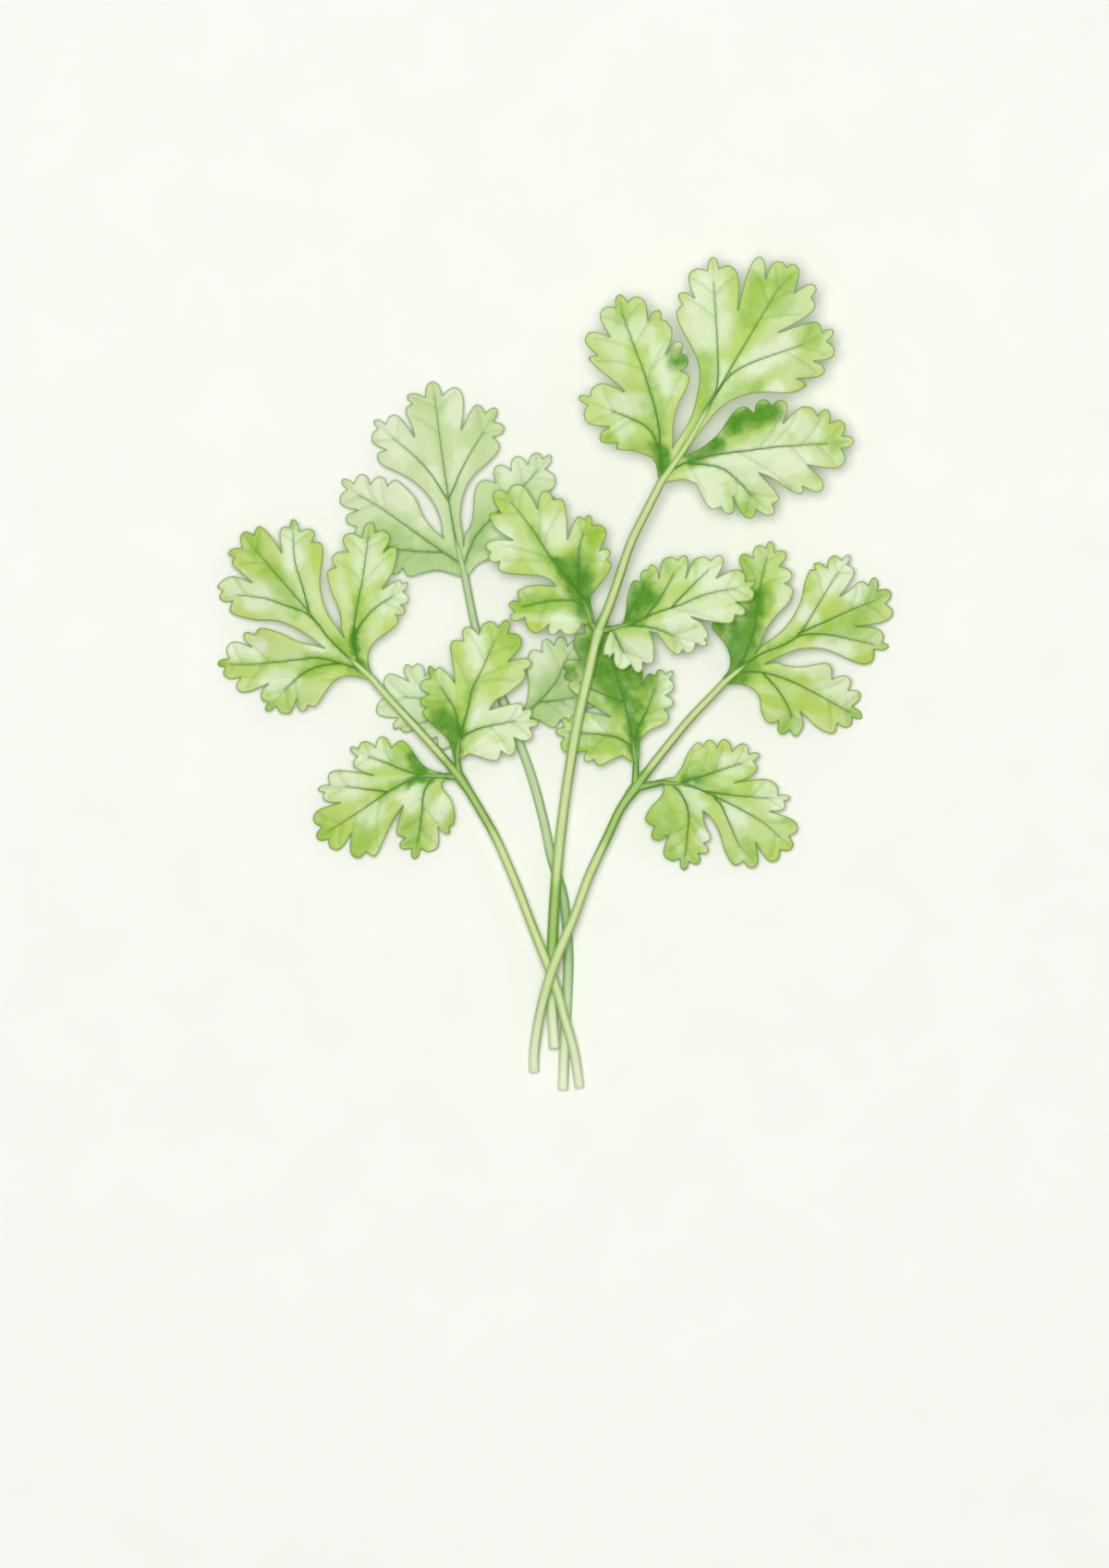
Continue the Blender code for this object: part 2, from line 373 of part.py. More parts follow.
            [(36.6, -1.8, 6.7), (44.6, 4.4, 7.6), (50.0, 6.6, 8.2), (54.0, 8.8, 7.8),
             (59.4, 8.6, 6.8), (65.2, 7.4, 4.4), (72.2, 5.8, 0.8)],
            [(36.6, -1.8, 6.7), (41.6, 0.4, 7.0), (45.2, 0.4, 7.2), (50.6, -1.2, 6.6),
             (56.4, -4.0, 4.8), (61.8, -7.0, 2.6), (66.6, -9.2, 0.45)],
            [(36.6, -1.8, 6.7), (45.2, 0.2, 7.2), (48.2, -3.2, 6.4), (50.6, -7.0, 4.8),
             (52.0, -12.4, 2.8)],
        ],
    },
    "leaf_right_inner": {
        "leaflets": [
            edge((18.5, -19.2), (18.4, -14.6), (20.2, -12.2), (23.6, -11.0))
            + teeth((24.8, -9.8), (26.0, -6.4), (26.0, -2.6), (25.8, 0.8), (22.6, 1.2), (20.2, 0.2))
            + edge((19.0, -2.4)) + teeth((17.6, 3.0), (15.8, 7.0), (12.2, 10.4), (6.8, 11.4),
                                         (4.2, 8.2))
            + edge((4.0, 5.8), (5.6, 3.4)) + teeth((1.8, 1.8), (2.0, -0.6), (3.0, -3.0))
            + edge((5.2, -4.8), (12.2, -9.2), (7.2, -7.8))
            + teeth((4.2, -8.6), (1.8, -9.2), (0.0, -12.2), (1.4, -16.0)) + edge((7.0, -16.6))
            + teeth((6.4, -18.8), (10.0, -20.0)) + edge((12.6, -18.4), (14.6, -17.6), (16.7, -19.2)),
        ],
        "ribs": [
            [(17.6, -19.2, 5.8), (16.6, -12.6, 6.2), (15.0, -5.6, 6.3), (13.4, -0.2, 6.1),
             (11.0, 8.0, 5.5)],
            [(17.6, -19.2, 5.8), (17.0, -14.2, 6.1), (20.2, -7.2, 6.4), (22.6, -0.6, 6.0)],
            [(17.6, -19.2, 5.8), (16.6, -15.8, 6.0), (12.6, -13.4, 5.5), (5.6, -12.6, 4.5),
             (1.0, -12.8, 4.1)],
            [(17.6, -19.2, 5.8), (15.0, -6.6, 6.2), (9.0, -3.6, 5.6), (3.0, -0.4, 4.9)],
        ],
    },
    "leaf_right_outer": {
        "leaflets": [
            edge((23.1, -22.4), (26.0, -22.2), (27.6, -20.0), (28.6, -17.2))
            + teeth((30.6, -14.6), (33.4, -14.0), (36.8, -13.8), (41.2, -14.8), (44.6, -17.2),
                    (44.0, -20.8))
            + edge((42.0, -22.6), (39.0, -23.4)) + teeth((47.6, -23.4), (51.2, -26.6),
                                                        (49.8, -29.2))
            + edge((46.6, -29.6)) + teeth((52.8, -33.2), (51.6, -37.6), (47.8, -40.6))
            + edge((43.6, -36.4)) + teeth((43.0, -42.0), (38.4, -41.2))
            + edge((36.8, -38.4), (35.8, -34.4), (34.2, -31.4), (32.2, -29.6), (32.4, -32.2))
            + teeth((34.0, -35.2), (33.4, -38.4), (31.4, -41.0), (28.0, -42.6), (24.4, -40.0))
            + edge((24.6, -34.8)) + teeth((21.2, -35.8), (19.4, -31.0))
            + edge((20.8, -28.6), (22.8, -26.8), (23.6, -25.2), (23.5, -24.2)),
        ],
        "ribs": [
            [(23.2, -23.3, 5.9), (29.0, -24.0, 6.5), (33.4, -25.8, 6.7), (39.2, -28.6, 6.0),
             (45.4, -32.2, 4.4), (50.6, -37.2, 2.2)],
            [(23.2, -23.3, 5.9), (27.2, -23.2, 6.3), (31.4, -22.2, 6.5), (36.8, -20.4, 6.0),
             (43.0, -18.4, 4.6)],
            [(23.2, -23.3, 5.9), (32.2, -25.0, 6.6), (39.2, -26.2, 5.8), (49.0, -27.0, 3.6)],
            [(23.2, -23.3, 5.9), (27.6, -26.2, 5.9), (29.0, -30.2, 4.9), (28.6, -36.4, 3.0),
             (28.0, -42.0, 1.6)],
            [(23.2, -23.3, 5.9), (33.4, -25.8, 6.7), (36.2, -28.6, 6.3), (38.8, -34.4, 4.8),
             (41.0, -40.0, 2.8)],
        ],
    },
}

# Colours of the stalks, of the fresh leaves and of the greyer leaves behind them
STALK_COLOUR = (0.52, 0.62, 0.26, 1.0)
LEAF_COLOUR = (0.33, 0.54, 0.12, 1.0)
BACK_LEAF_COLOUR = (0.42, 0.58, 0.27, 1.0)
ROUGHNESS = 0.55


def clear_scene():
    for old in list(bpy.data.objects):
        bpy.data.objects.remove(old, do_unlink=True)


def new_collection(name, hidden):
    collection = bpy.data.collections.new(name)
    bpy.context.scene.collection.children.link(collection)
    collection.hide_render = hidden
    return collection


def plain_material(name, colour):
    material = bpy.data.materials.new(name)
    material.use_nodes = True
    shader = material.node_tree.nodes["Principled BSDF"]
    shader.inputs["Base Color"].default_value = colour
    shader.inputs["Roughness"].default_value = ROUGHNESS
    shader.inputs["Metallic"].default_value = 0.0
    material.diffuse_color = colour
    return material


def to_world(x, y, z):
    """Plan millimetres to metres about the bunch's middle."""
    return (Vector((x, y, z)) - PLAN_CENTRE) * MM


def smooth_points(points, step):
    """Points along a smooth curve through the given ones, about one step apart."""
    knots = [Vector(p) for p in points]
    ends = [2 * knots[0] - knots[1]] + knots + [2 * knots[-1] - knots[-2]]
    line = [knots[0]]
    for a, b, c, d in zip(ends, ends[1:], ends[2:], ends[3:]):
        pieces = max(1, round((c - b).length / step))
        for i in range(1, pieces + 1):
            t = i / pieces
            line.append(0.5 * (2 * b + (c - a) * t + (2 * a - 5 * b + 4 * c - d) * t ** 2
                               + (3 * b - a - 3 * c + d) * t ** 3))
    return line


def shorten(line, gap):
    """The same line, ending a gap before its last point."""
    return line[:-1] + [line[-1] + (line[-2] - line[-1]).normalized() * gap]


def tube(name, line, radii, collection):
    """A closed mesh tube along the line, made from a bevelled curve."""
    data = bpy.data.curves.new(name, "CURVE")
    data.dimensions = "3D"
    data.bevel_depth = MM
    data.bevel_resolution = 2
    data.use_fill_caps = True
    spline = data.splines.new("POLY")
    spline.points.add(len(line) - 1)
    for point, place, radius in zip(spline.points, line, radii):
        point.co = (*to_world(*place), 1.0)
        point.radius = radius
    curve = bpy.data.objects.new(name + "_curve", data)
    collection.objects.link(curve)
    bpy.context.view_layer.update()
    seen = curve.evaluated_get(bpy.context.evaluated_depsgraph_get())
    mesh = bpy.data.meshes.new_from_object(seen)
    matrix = curve.matrix_world.copy()
    bpy.data.objects.remove(curve, do_unlink=True)
    work = bmesh.new()
    work.from_mesh(mesh)
    bmesh.ops.remove_doubles(work, verts=work.verts, dist=WELD * MM)
    work.to_mesh(mesh)
    work.free()
    made = bpy.data.objects.new(name, mesh)
    made.matrix_world = matrix
    collection.objects.link(made)
    return made


def apply_boolean(target, operation, other=None, group=None):
    """Joins or cuts for good, then removes what it used."""
    step = target.modifiers.new(operation.title(), "BOOLEAN")
    step.operation = operation
    step.solver = "EXACT"
    if group is None:
        step.object = other
    else:
        step.operand_type = "COLLECTION"
        step.collection = group
    bpy.context.view_layer.update()
    seen = target.evaluated_get(bpy.context.evaluated_depsgraph_get())
    target.data = bpy.data.meshes.new_from_object(seen)
    target.modifiers.clear()
    used = [other] if group is None else list(group.objects)
    for piece in used:
        bpy.data.objects.remove(piece, do_unlink=True)


def stalk_radii(line, node_place, radii):
    """A radius for each point: even from cut end to node, and from node to leaf."""
    node_at = min(range(len(line)), key=lambda i: (line[i] - node_place).length)
    low, middle, high = radii
    result = []
    for i in range(len(line)):
        if i <= node_at:
            result.append(low + (middle - low) * i / node_at)
        else:
            result.append(middle + (high - middle) * (i - node_at) / (len(line) - 1 - node_at))
    return result


def stalk(name, plan, collection, material):
    """A main stalk with its two side stalks, joined in one solid."""
    node_place = Vector(plan["line"][plan["node"]])
    line = shorten(smooth_points(plan["line"], STALK_STEP), JOIN_GAP)
    main = tube(name, line, stalk_radii(line, node_place, plan["radii"]), collection)
    joined = bpy.data.collections.new(name + "_side_stalks")
    bpy.context.scene.collection.children.link(joined)
    for count, end in enumerate(plan["side_ends"]):
        lift = Vector((0.0, 0.0, SIDE_STALK_LIFT * (count + 1)))
        side = shorten(smooth_points([node_place + lift, end], SIDE_STALK_STEP), JOIN_GAP)
        tube(f"{name}_side_{count}", side, [SIDE_STALK_RADIUS] * len(side), joined)
    apply_boolean(main, "UNION", group=joined)
    bpy.data.collections.remove(joined)
    main.data.materials.clear()
    main.data.materials.append(material)
    main.data.shade_smooth()
    main.data.set_sharp_from_angle(angle=SMOOTH_UNDER)
    return main


def flatten_underside(piece, cutters):
    """Cuts the piece off level at the table, so that it lies on a flat strip."""
    bpy.ops.mesh.primitive_cube_add(size=1.0, location=(0.0, 0.0, -REST_CUT_DEPTH / 2 * MM))
    block = bpy.context.active_object
    block.name = "table_cut"
    block.scale = (REST_CUT_SIDE * MM, REST_CUT_SIDE * MM, REST_CUT_DEPTH * MM)
    for owner in list(block.users_collection):
        owner.objects.unlink(block)
    cutters.objects.link(block)
    apply_boolean(piece, "DIFFERENCE", other=block)


def signed_area(points):
    total = 0.0
    for (ax, ay), (bx, by) in zip(points, points[1:] + points[:1]):
        total += ax * by - bx * ay
    return total / 2


def with_notches(outline):
    """The outline as plain points, with a notch between each two tooth tips."""
    turn = math.copysign(1.0, signed_area([(x, y) for x, y, _ in outline]))
    corners = [Vector((x, y)) for x, y, _ in outline]
    widths = [inner_angle(corners, i, turn) / math.pi for i in range(len(corners))]
    points = []
    for i, a in enumerate(corners):
        points.append(a)
        after = (i + 1) % len(corners)
        b = corners[after]
        if outline[i][2] and not outline[after][2] and widths[after] * math.pi > DEEP_NOTCH:
            points.extend(lobe_side(a, b, corners, turn))
        if outline[after][2] and not outline[i][2] and widths[i] * math.pi > DEEP_NOTCH:
            points.extend(reversed(lobe_side(b, a, corners, -turn)))
        if outline[i][2] and outline[after][2]:
            across = b - a
            inward = Vector((-across.y, across.x)) * turn
            depth = NOTCH_DEPTH * min(widths[i], widths[after], 1.0) ** NARROW_TOOTH
            notch = a + across / 2 + inward * depth
            points.append(shoulder(a, notch, turn))
            points.append(notch)
            points.append(shoulder(b, notch, -turn))
    return points


def inner_angle(corners, i, turn):
    """The angle inside the outline at one of its corners."""
    coming = corners[i] - corners[i - 1]
    going = corners[(i + 1) % len(corners)] - corners[i]
    cross = coming.x * going.y - coming.y * going.x
    return math.pi - math.atan2(cross, coming.dot(going)) * turn


def shoulder(tip, notch, turn):
    """A point that rounds the side of a tooth between its tip and a notch."""
    side = notch - tip
    outward = Vector((side.y, -side.x)) * turn
    return tip + side * SHOULDER_PLACE + outward * SHOULDER_BULGE


def lobe_side(tip, notch, corners, turn):
    """Points that round the side of a lobe between its tip and a deep notch."""
    side = notch - tip
    outward = Vector((side.y, -side.x)).normalized() * turn
    places = LONG_SIDE_PLACES if side.length > LONG_SIDE else (SHOULDER_PLACE,)
    bulge = min(side.length * SHOULDER_BULGE, WIDEST_BULGE)
    middle = tip + side * places[-1]
    walls = [(a, b) for a, b in zip(corners, corners[1:] + corners[:1])
             if {a.freeze(), b.freeze()} != {tip.freeze(), notch.freeze()}]
    room = min(gap_to_wall(middle + outward * bulge, a, b) for a, b in walls)
    if room < LOBE_ROOM:
        bulge = max(0.0, bulge - (LOBE_ROOM - room))
    if bulge == 0.0:
        return []
    return [tip + side * place + outward * bulge for place in places]


def gap_to_wall(point, a, b):
    """The distance from a point to the straight line between two others."""
    nearest, part = intersect_point_line(point, a, b)
    part = min(max(part, 0.0), 1.0)
    return (point - (a + (b - a) * part)).length


def triangles_inside(points, faces):
    """Splits the area that the faces cover, as corner places and triangles."""
    result = delaunay_2d_cdt(points, [], faces, 1, SAME_PLACE)
    return result[0], result[2]


def border(triangles):
    """The edges that only one triangle has, each as a pair in its own direction."""
    sides = [(t[i], t[(i + 1) % 3]) for t in triangles for i in range(3)]
    known = set(sides)
    return [(a, b) for a, b in sides if (b, a) not in known]


def outer_loop(places, triangles):
    """The longest ring of border edges, with very short edges closed up."""
    after = {}
    for a, b in border(triangles):
        after.setdefault(a, []).append(b)
    longest = []
    while after:
        start = next(iter(after))
        ring = []
        here = start
        while here in after:
            ring.append(here)
            onward = after[here].pop()
            if not after[here]:
                del after[here]
            here = onward
        if len(ring) > len(longest):
            longest = ring
    loop = []
    for index in longest:
        if not loop or (places[index] - loop[-1]).length > SHORTEST_EDGE:
            loop.append(places[index])
    if (loop[0] - loop[-1]).length < SHORTEST_EDGE:
        loop.pop()
    return loop


def is_inside(point, loop):
    inside = False
    for a, b in zip(loop, loop[1:] + loop[:1]):
        if (a.y > point.y) != (b.y > point.y):
            if point.x < a.x + (b.x - a.x) * (point.y - a.y) / (b.y - a.y):
                inside = not inside
    return inside


def distance_to_line(point, a, b):
    """Distance from a point to a stretch, and how far along the stretch it is."""
    nearest, along = intersect_point_line(point, a, b)
    along = min(max(along, 0.0), 1.0)
    return (a + (b - a) * along - point).length, along


def grid_points(loop):
    """Points in staggered rows inside the loop, clear of its edge."""
    low_x = min(p.x for p in loop)
    high_x = max(p.x for p in loop)
    low_y = min(p.y for p in loop)
    high_y = max(p.y for p in loop)
    row_step = GRID_STEP * math.sqrt(3) / 2
    points = []
    for row in range(int((high_y - low_y) / row_step) + 1):
        shift = GRID_STEP / 2 * (row % 2)
        for column in range(int((high_x - low_x) / GRID_STEP) + 2):
            point = Vector((low_x + column * GRID_STEP - shift, low_y + row * row_step))
            if is_inside(point, loop):
                clear = min(distance_to_line(point, a, b)[0]
                            for a, b in zip(loop, loop[1:] + loop[:1]))
                if clear > GRID_MARGIN:
                    points.append(point)
    return points


def blade_height(ribs, x, y):
    """Height of the blade's middle: carried by the ribs, fuller and waved between them."""
    point = Vector((x, y))
    total = 0.0
    weights = 0.0
    nearest = math.inf
    for rib in ribs:
        best = (math.inf, 0.0)
        for a, b in zip(rib, rib[1:]):
            distance, along = distance_to_line(point, Vector(a[:2]), Vector(b[:2]))
            if distance < best[0]:
                best = (distance, a[2] + (b[2] - a[2]) * along)
        weight = 1.0 / (best[0] ** 2 + 1.0) ** 2
        total += weight * best[1]
        weights += weight
        nearest = min(nearest, best[0])
    pillow = PILLOW_RISE * (1.0 - math.exp(-(nearest / PILLOW_WIDTH) ** 2))
    wave = noise.noise(Vector((x, y, len(ribs))) / RIPPLE_LENGTH)
    ripple = RIPPLE_RISE * wave * min(1.0, nearest / RIPPLE_WIDTH)
    return max(total / weights + pillow + ripple, BLADE_THICKNESS / 2)


def leaf(name, plan, collection, material):
    """A toothed blade: its leaflets joined in plan, raised to height and thickened."""
    points = []
    faces = []
    for outline in plan["leaflets"]:
        ring = with_notches(outline)
        faces.append(list(range(len(points), len(points) + len(ring))))
        points.extend(ring)
    loop = outer_loop(*triangles_inside(points, faces))
    inner = grid_points(loop)
    places, triangles = triangles_inside(loop + inner, [list(range(len(loop)))])
    half = Vector((0.0, 0.0, BLADE_THICKNESS / 2))
    work = bmesh.new()
    middles = [Vector((p.x, p.y, blade_height(plan["ribs"], p.x, p.y))) for p in places]
    tops = [work.verts.new(to_world(*(m + half))) for m in middles]
    lows = [work.verts.new(to_world(*(m - half))) for m in middles]
    for a, b, c in triangles:
        work.faces.new((tops[a], tops[b], tops[c]))
        work.faces.new((lows[c], lows[b], lows[a]))
    for a, b in border(triangles):
        work.faces.new((tops[a], lows[a], lows[b]))
        work.faces.new((tops[a], lows[b], tops[b]))
    loose = [v for v in work.verts if not v.link_faces]
    bmesh.ops.delete(work, geom=loose, context="VERTS")
    mesh = bpy.data.meshes.new(name)
    work.to_mesh(mesh)
    work.free()
    mesh.materials.append(material)
    blade = bpy.data.objects.new(name, mesh)
    collection.objects.link(blade)
    return blade


clear_scene()
PARTS = new_collection("coriander_bunch", hidden=False)
CUTTERS = new_collection("cutters", hidden=True)
for stalk_name, stalk_plan in STALKS.items():
    stalk(stalk_name, stalk_plan, PARTS, plain_material(stalk_name, STALK_COLOUR))
flatten_underside(PARTS.objects["stalk_back"], CUTTERS)
for leaf_name, leaf_plan in LEAVES.items():
    behind = leaf_name.startswith("leaf_back")
    colour = BACK_LEAF_COLOUR if behind else LEAF_COLOUR
    leaf(leaf_name, leaf_plan, PARTS, plain_material(leaf_name, colour))
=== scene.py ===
# %% [markdown]
# # A bunch of coriander
# Four cut sprigs lie crossed on a table. The frame holds sixteen plain solids, four stalks and
# twelve leaves, and this lesson dresses each of them. A leaf becomes a thin toothed blade with
# sunken veins and raised ribs, and a stalk becomes a grooved stem with a swollen node. A blade
# takes its edge and its height from its own solid, so it always fits. Only the veins, the tints
# and the stalks' routes are given one by one.

# %% Load the frame
import bpy
import bmesh
import math
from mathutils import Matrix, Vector, kdtree, noise
from mathutils.bvhtree import BVHTree
from mathutils.geometry import barycentric_transform, delaunay_2d_cdt


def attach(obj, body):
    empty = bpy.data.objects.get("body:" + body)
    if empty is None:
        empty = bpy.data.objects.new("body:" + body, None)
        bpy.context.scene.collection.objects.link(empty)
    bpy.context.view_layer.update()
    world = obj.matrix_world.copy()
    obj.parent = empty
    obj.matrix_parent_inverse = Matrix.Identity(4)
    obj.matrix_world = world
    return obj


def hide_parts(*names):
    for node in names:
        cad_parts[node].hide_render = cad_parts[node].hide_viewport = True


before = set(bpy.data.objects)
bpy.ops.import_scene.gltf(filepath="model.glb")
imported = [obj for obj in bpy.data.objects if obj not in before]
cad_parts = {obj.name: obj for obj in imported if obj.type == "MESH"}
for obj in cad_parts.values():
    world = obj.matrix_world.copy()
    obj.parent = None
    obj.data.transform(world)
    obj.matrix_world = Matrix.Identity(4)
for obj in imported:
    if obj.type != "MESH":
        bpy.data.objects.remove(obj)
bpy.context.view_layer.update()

# %% [markdown]
# Plan places are easier to read in millimetres on the table, as in the part's own
# source, while the scene is in metres about the middle of the bunch. Two helpers turn
# one into the other, so that no other line has to.

# %% Units
MM = 0.001
PLAN_CENTRE = Vector((0.1, 0.2, 0.0))


def to_plan(point):
    """Metres in the frame to millimetres on the table."""
    return Vector(point) / MM + PLAN_CENTRE


def to_frame(point):
    """Millimetres on the table to metres in the frame."""
    return (Vector(point) - PLAN_CENTRE) * MM


# %% [markdown]
# A shader is easier to read as arithmetic than as a heap of nodes. This small class
# wraps a socket, and each operator adds the Math node that does the same sum. Colours
# are mixed by a method of the sheet, because a Math node would turn them grey.


# %% Shader arithmetic
FINE_RELIEF = 0.0001


class Value:
    """A number socket that can be used in a sum."""

    def __init__(self, sheet, socket):
        self.sheet = sheet
        self.socket = socket

    def maths(self, operation, *others):
        sockets = dict(enumerate((self, *others)))
        return self.sheet.node("ShaderNodeMath", {"operation": operation}, sockets)

    def __add__(self, other):
        return self.maths("ADD", other)

    def __sub__(self, other):
        return self.maths("SUBTRACT", other)

    def __rsub__(self, other):
        return (self * -1.0) + other

    def __mul__(self, other):
        return self.maths("MULTIPLY", other)

    __radd__ = __add__
    __rmul__ = __mul__

    def band(self, low, high):
        """0 below the low value, 1 above the high one, and smooth between them."""
        sockets = {"Value": self, "From Min": low, "From Max": high}
        settings = {"interpolation_type": "SMOOTHSTEP"}
        return self.sheet.node("ShaderNodeMapRange", settings, sockets)

    def between(self, low, high):
        """The low value where this one is 0 and the high one where it is 1."""
        return self * (high - low) + low


class Sheet:
    """One material's node tree."""

    def __init__(self, name):
        self.material = bpy.data.materials.new(name)
        self.material.use_nodes = True
        self.tree = self.material.node_tree
        self.shader = self.tree.nodes["Principled BSDF"]

    def node(self, kind, settings, sockets, output=0):
        """One node, from its type, its settings and what feeds its sockets."""
        made = self.tree.nodes.new(kind)
        for name, setting in settings.items():
            setattr(made, name, setting)
        for name, value in sockets.items():
            self.feed(made.inputs[name], value)
        return Value(self, made.outputs[output])

    def feed(self, target, value):
        """A link where the value is a socket, and a plain setting where it isn't."""
        if isinstance(value, Value):
            self.tree.links.new(value.socket, target)
        else:
            target.default_value = value

    def mix(self, amount, first, second):
        """A colour that goes from the first to the second as the amount rises."""
        made = self.tree.nodes.new("ShaderNodeMix")
        made.data_type = "RGBA"
        self.feed(made.inputs[0], amount)
        self.feed(made.inputs[6], first)
        self.feed(made.inputs[7], second)
        return Value(self, made.outputs[2])

    def attribute(self, name):
        return self.node("ShaderNodeAttribute", {"attribute_name": name}, {}, "Fac")

    def place(self):
        return self.node("ShaderNodeTexCoord", {}, {}, "Object")

    def clouds(self, scale, detail=3.0, place=None):
        """Soft noise over the surface, or over another place that is given."""
        sockets = {"Vector": place or self.place(), "Scale": scale, "Detail": detail}
        return self.node("ShaderNodeTexNoise", {}, sockets)

    def bump(self, height, strength):
        """A relief that only the light sees."""
        sockets = {"Height": height, "Strength": strength, "Distance": FINE_RELIEF}
        return self.node("ShaderNodeBump", {}, sockets)

    def finish(self, **sockets):
        """Feeds the shader's sockets, named with underscores, and gives the material."""
        for name, value in sockets.items():
            self.feed(self.shader.inputs[name.replace("_", " ")], value)
        return self.material


# %% [markdown]
# A coriander blade is a light, slightly yellow green. Fuller greens gather near the stalk and
# along the veins, pale washed patches lie between them, and a thin dark line runs round the
# edge. Deep green is painted shade, where folds and the leaves above would shade the blade.
# Image maps could hold all this, but attributes on the blade's own vertices are lighter and
# follow the surface, so the pattern never slides. They are called vein, rim, green, pale and
# stroke, and one more holds the painted shade.

# %% Leaf finish
PATCH_SCALE = 95.0
PATCH_BAND = (0.38, 0.68)
PATCH_SHARE = 0.2
STROKE_BAND = (0.35, 0.75)
STROKE_SHARE = 0.3
PALE_SHARE = 0.7
MOTTLE_SCALE = 420.0
MOTTLE_DETAIL = 4.0
MOTTLE_BAND = (0.3, 0.75)
GREEN_RANGE = (0.5, 0.8)
PAINTED_SHADE_RANGE = (0.8, 1.0)
LINE_SHARE = 0.8
RIM_BAND = (0.08, 0.4)
RIM_SHARE = 0.7
CELL_SCALE = 900.0
CELL_WALL = 0.12
CELL_RELIEF = 0.25
LEAF_ROUGHNESS = (0.44, 0.58)
LEAF_SCATTER = 0.06
LEAF_SCATTER_DEPTH = (0.0006, 0.0012, 0.0003)
LEAF_GLOSS = 0.1


def leaf_finish(name, light, pale, green, deep, line):
    """A leaf surface from its five greens."""
    sheet = Sheet(name)
    patch = sheet.clouds(PATCH_SCALE).band(*PATCH_BAND)
    mottle = sheet.clouds(MOTTLE_SCALE, MOTTLE_DETAIL).band(*MOTTLE_BAND)
    stroke = sheet.attribute("stroke").band(*STROKE_BAND)
    wash = patch * PATCH_SHARE + stroke * STROKE_SHARE + sheet.attribute("pale") * PALE_SHARE
    colour = sheet.mix(wash, light, pale)
    greenness = sheet.attribute("green") * mottle.between(*GREEN_RANGE)
    colour = sheet.mix(greenness, colour, green)
    # Painted shade: deep green where folds and the leaves above would shade the blade.
    deepness = sheet.attribute("deep") * mottle.between(*PAINTED_SHADE_RANGE)
    colour = sheet.mix(deepness, colour, deep)
    colour = sheet.mix(sheet.attribute("vein") * LINE_SHARE, colour, line)
    rim = 1.0 - sheet.attribute("rim").band(*RIM_BAND)
    colour = sheet.mix(rim * RIM_SHARE, colour, line)
    cells = sheet.node("ShaderNodeTexVoronoi", {"feature": "DISTANCE_TO_EDGE"},
                       {"Vector": sheet.place(), "Scale": CELL_SCALE})
    return sheet.finish(
        Base_Color=colour, Roughness=mottle.between(*LEAF_ROUGHNESS),
        Normal=sheet.bump(cells.band(0.0, CELL_WALL), CELL_RELIEF),
        Subsurface_Weight=LEAF_SCATTER, Subsurface_Radius=LEAF_SCATTER_DEPTH,
        Specular_IOR_Level=LEAF_GLOSS)


LIGHT_GREEN = (0.44, 0.61, 0.09, 1.0)
PALE_GREEN = (0.73, 0.83, 0.57, 1.0)
FULL_GREEN = (0.23, 0.47, 0.03, 1.0)
# The green of the painted shade on the front leaves.
PAINTED_SHADE_GREEN = (0.07, 0.27, 0.01, 1.0)
LINE_GREEN = (0.06, 0.22, 0.01, 1.0)
GREY_GREEN = (0.52, 0.65, 0.30, 1.0)
GREY_PALE = (0.70, 0.79, 0.54, 1.0)
GREY_FULL = (0.30, 0.50, 0.15, 1.0)
# The greyer green of the painted shade on the back leaves.
GREY_PAINTED_SHADE = (0.20, 0.40, 0.11, 1.0)
GREY_LINE = (0.11, 0.27, 0.06, 1.0)

FRESH_LEAF = leaf_finish(
    "fresh_leaf", LIGHT_GREEN, PALE_GREEN, FULL_GREEN, PAINTED_SHADE_GREEN, LINE_GREEN)
BACK_LEAF = leaf_finish(
    "back_leaf", GREY_GREEN, GREY_PALE, GREY_FULL, GREY_PAINTED_SHADE, GREY_LINE)
print("leaf finishes", FRESH_LEAF.name, BACK_LEAF.name)

# %% [markdown]
# A stalk is paler than the leaves: cream green at the cut end, yellow green higher up, and a
# fuller green at the node. Shade is painted on its flanks, darker at the sides than in the
# middle as light from above would leave a round stem, and a darker green is painted as shade
# where other stalks cross over it. Fine streaks run along it. The ribs on the blades share this
# finish, and the attribute called fade turns it from stalk to dark vein line, from 0 to 1.

# %% Stalk finish
STREAKS_ACROSS = 5.0
STREAKS_ALONG = 0.12
STREAK_BAND = (0.35, 0.65)
STREAK_SHARE = 0.16
CREAM_REACH = (2.0, 26.0)
CREAM_MIX = (0.55, 0.9)
FLANK_SHADE_BAND = (0.3, 0.95)
FLANK_SHADE_MIX = (0.55, 0.95)
END_REACH = (-8.0, 16.0)
SHADE_SHARE = 0.2
FULL_BAND = (0.6, 1.0)
FULL_SHARE = 0.3
STALK_GRAIN = 1600.0
STALK_DETAIL = 2.0
STALK_RELIEF = 0.15
STALK_ROUGHNESS = (0.42, 0.52)
STALK_SCATTER = 0.08
STALK_SCATTER_DEPTH = (0.0008, 0.0012, 0.0004)
STALK_GLOSS = 0.16


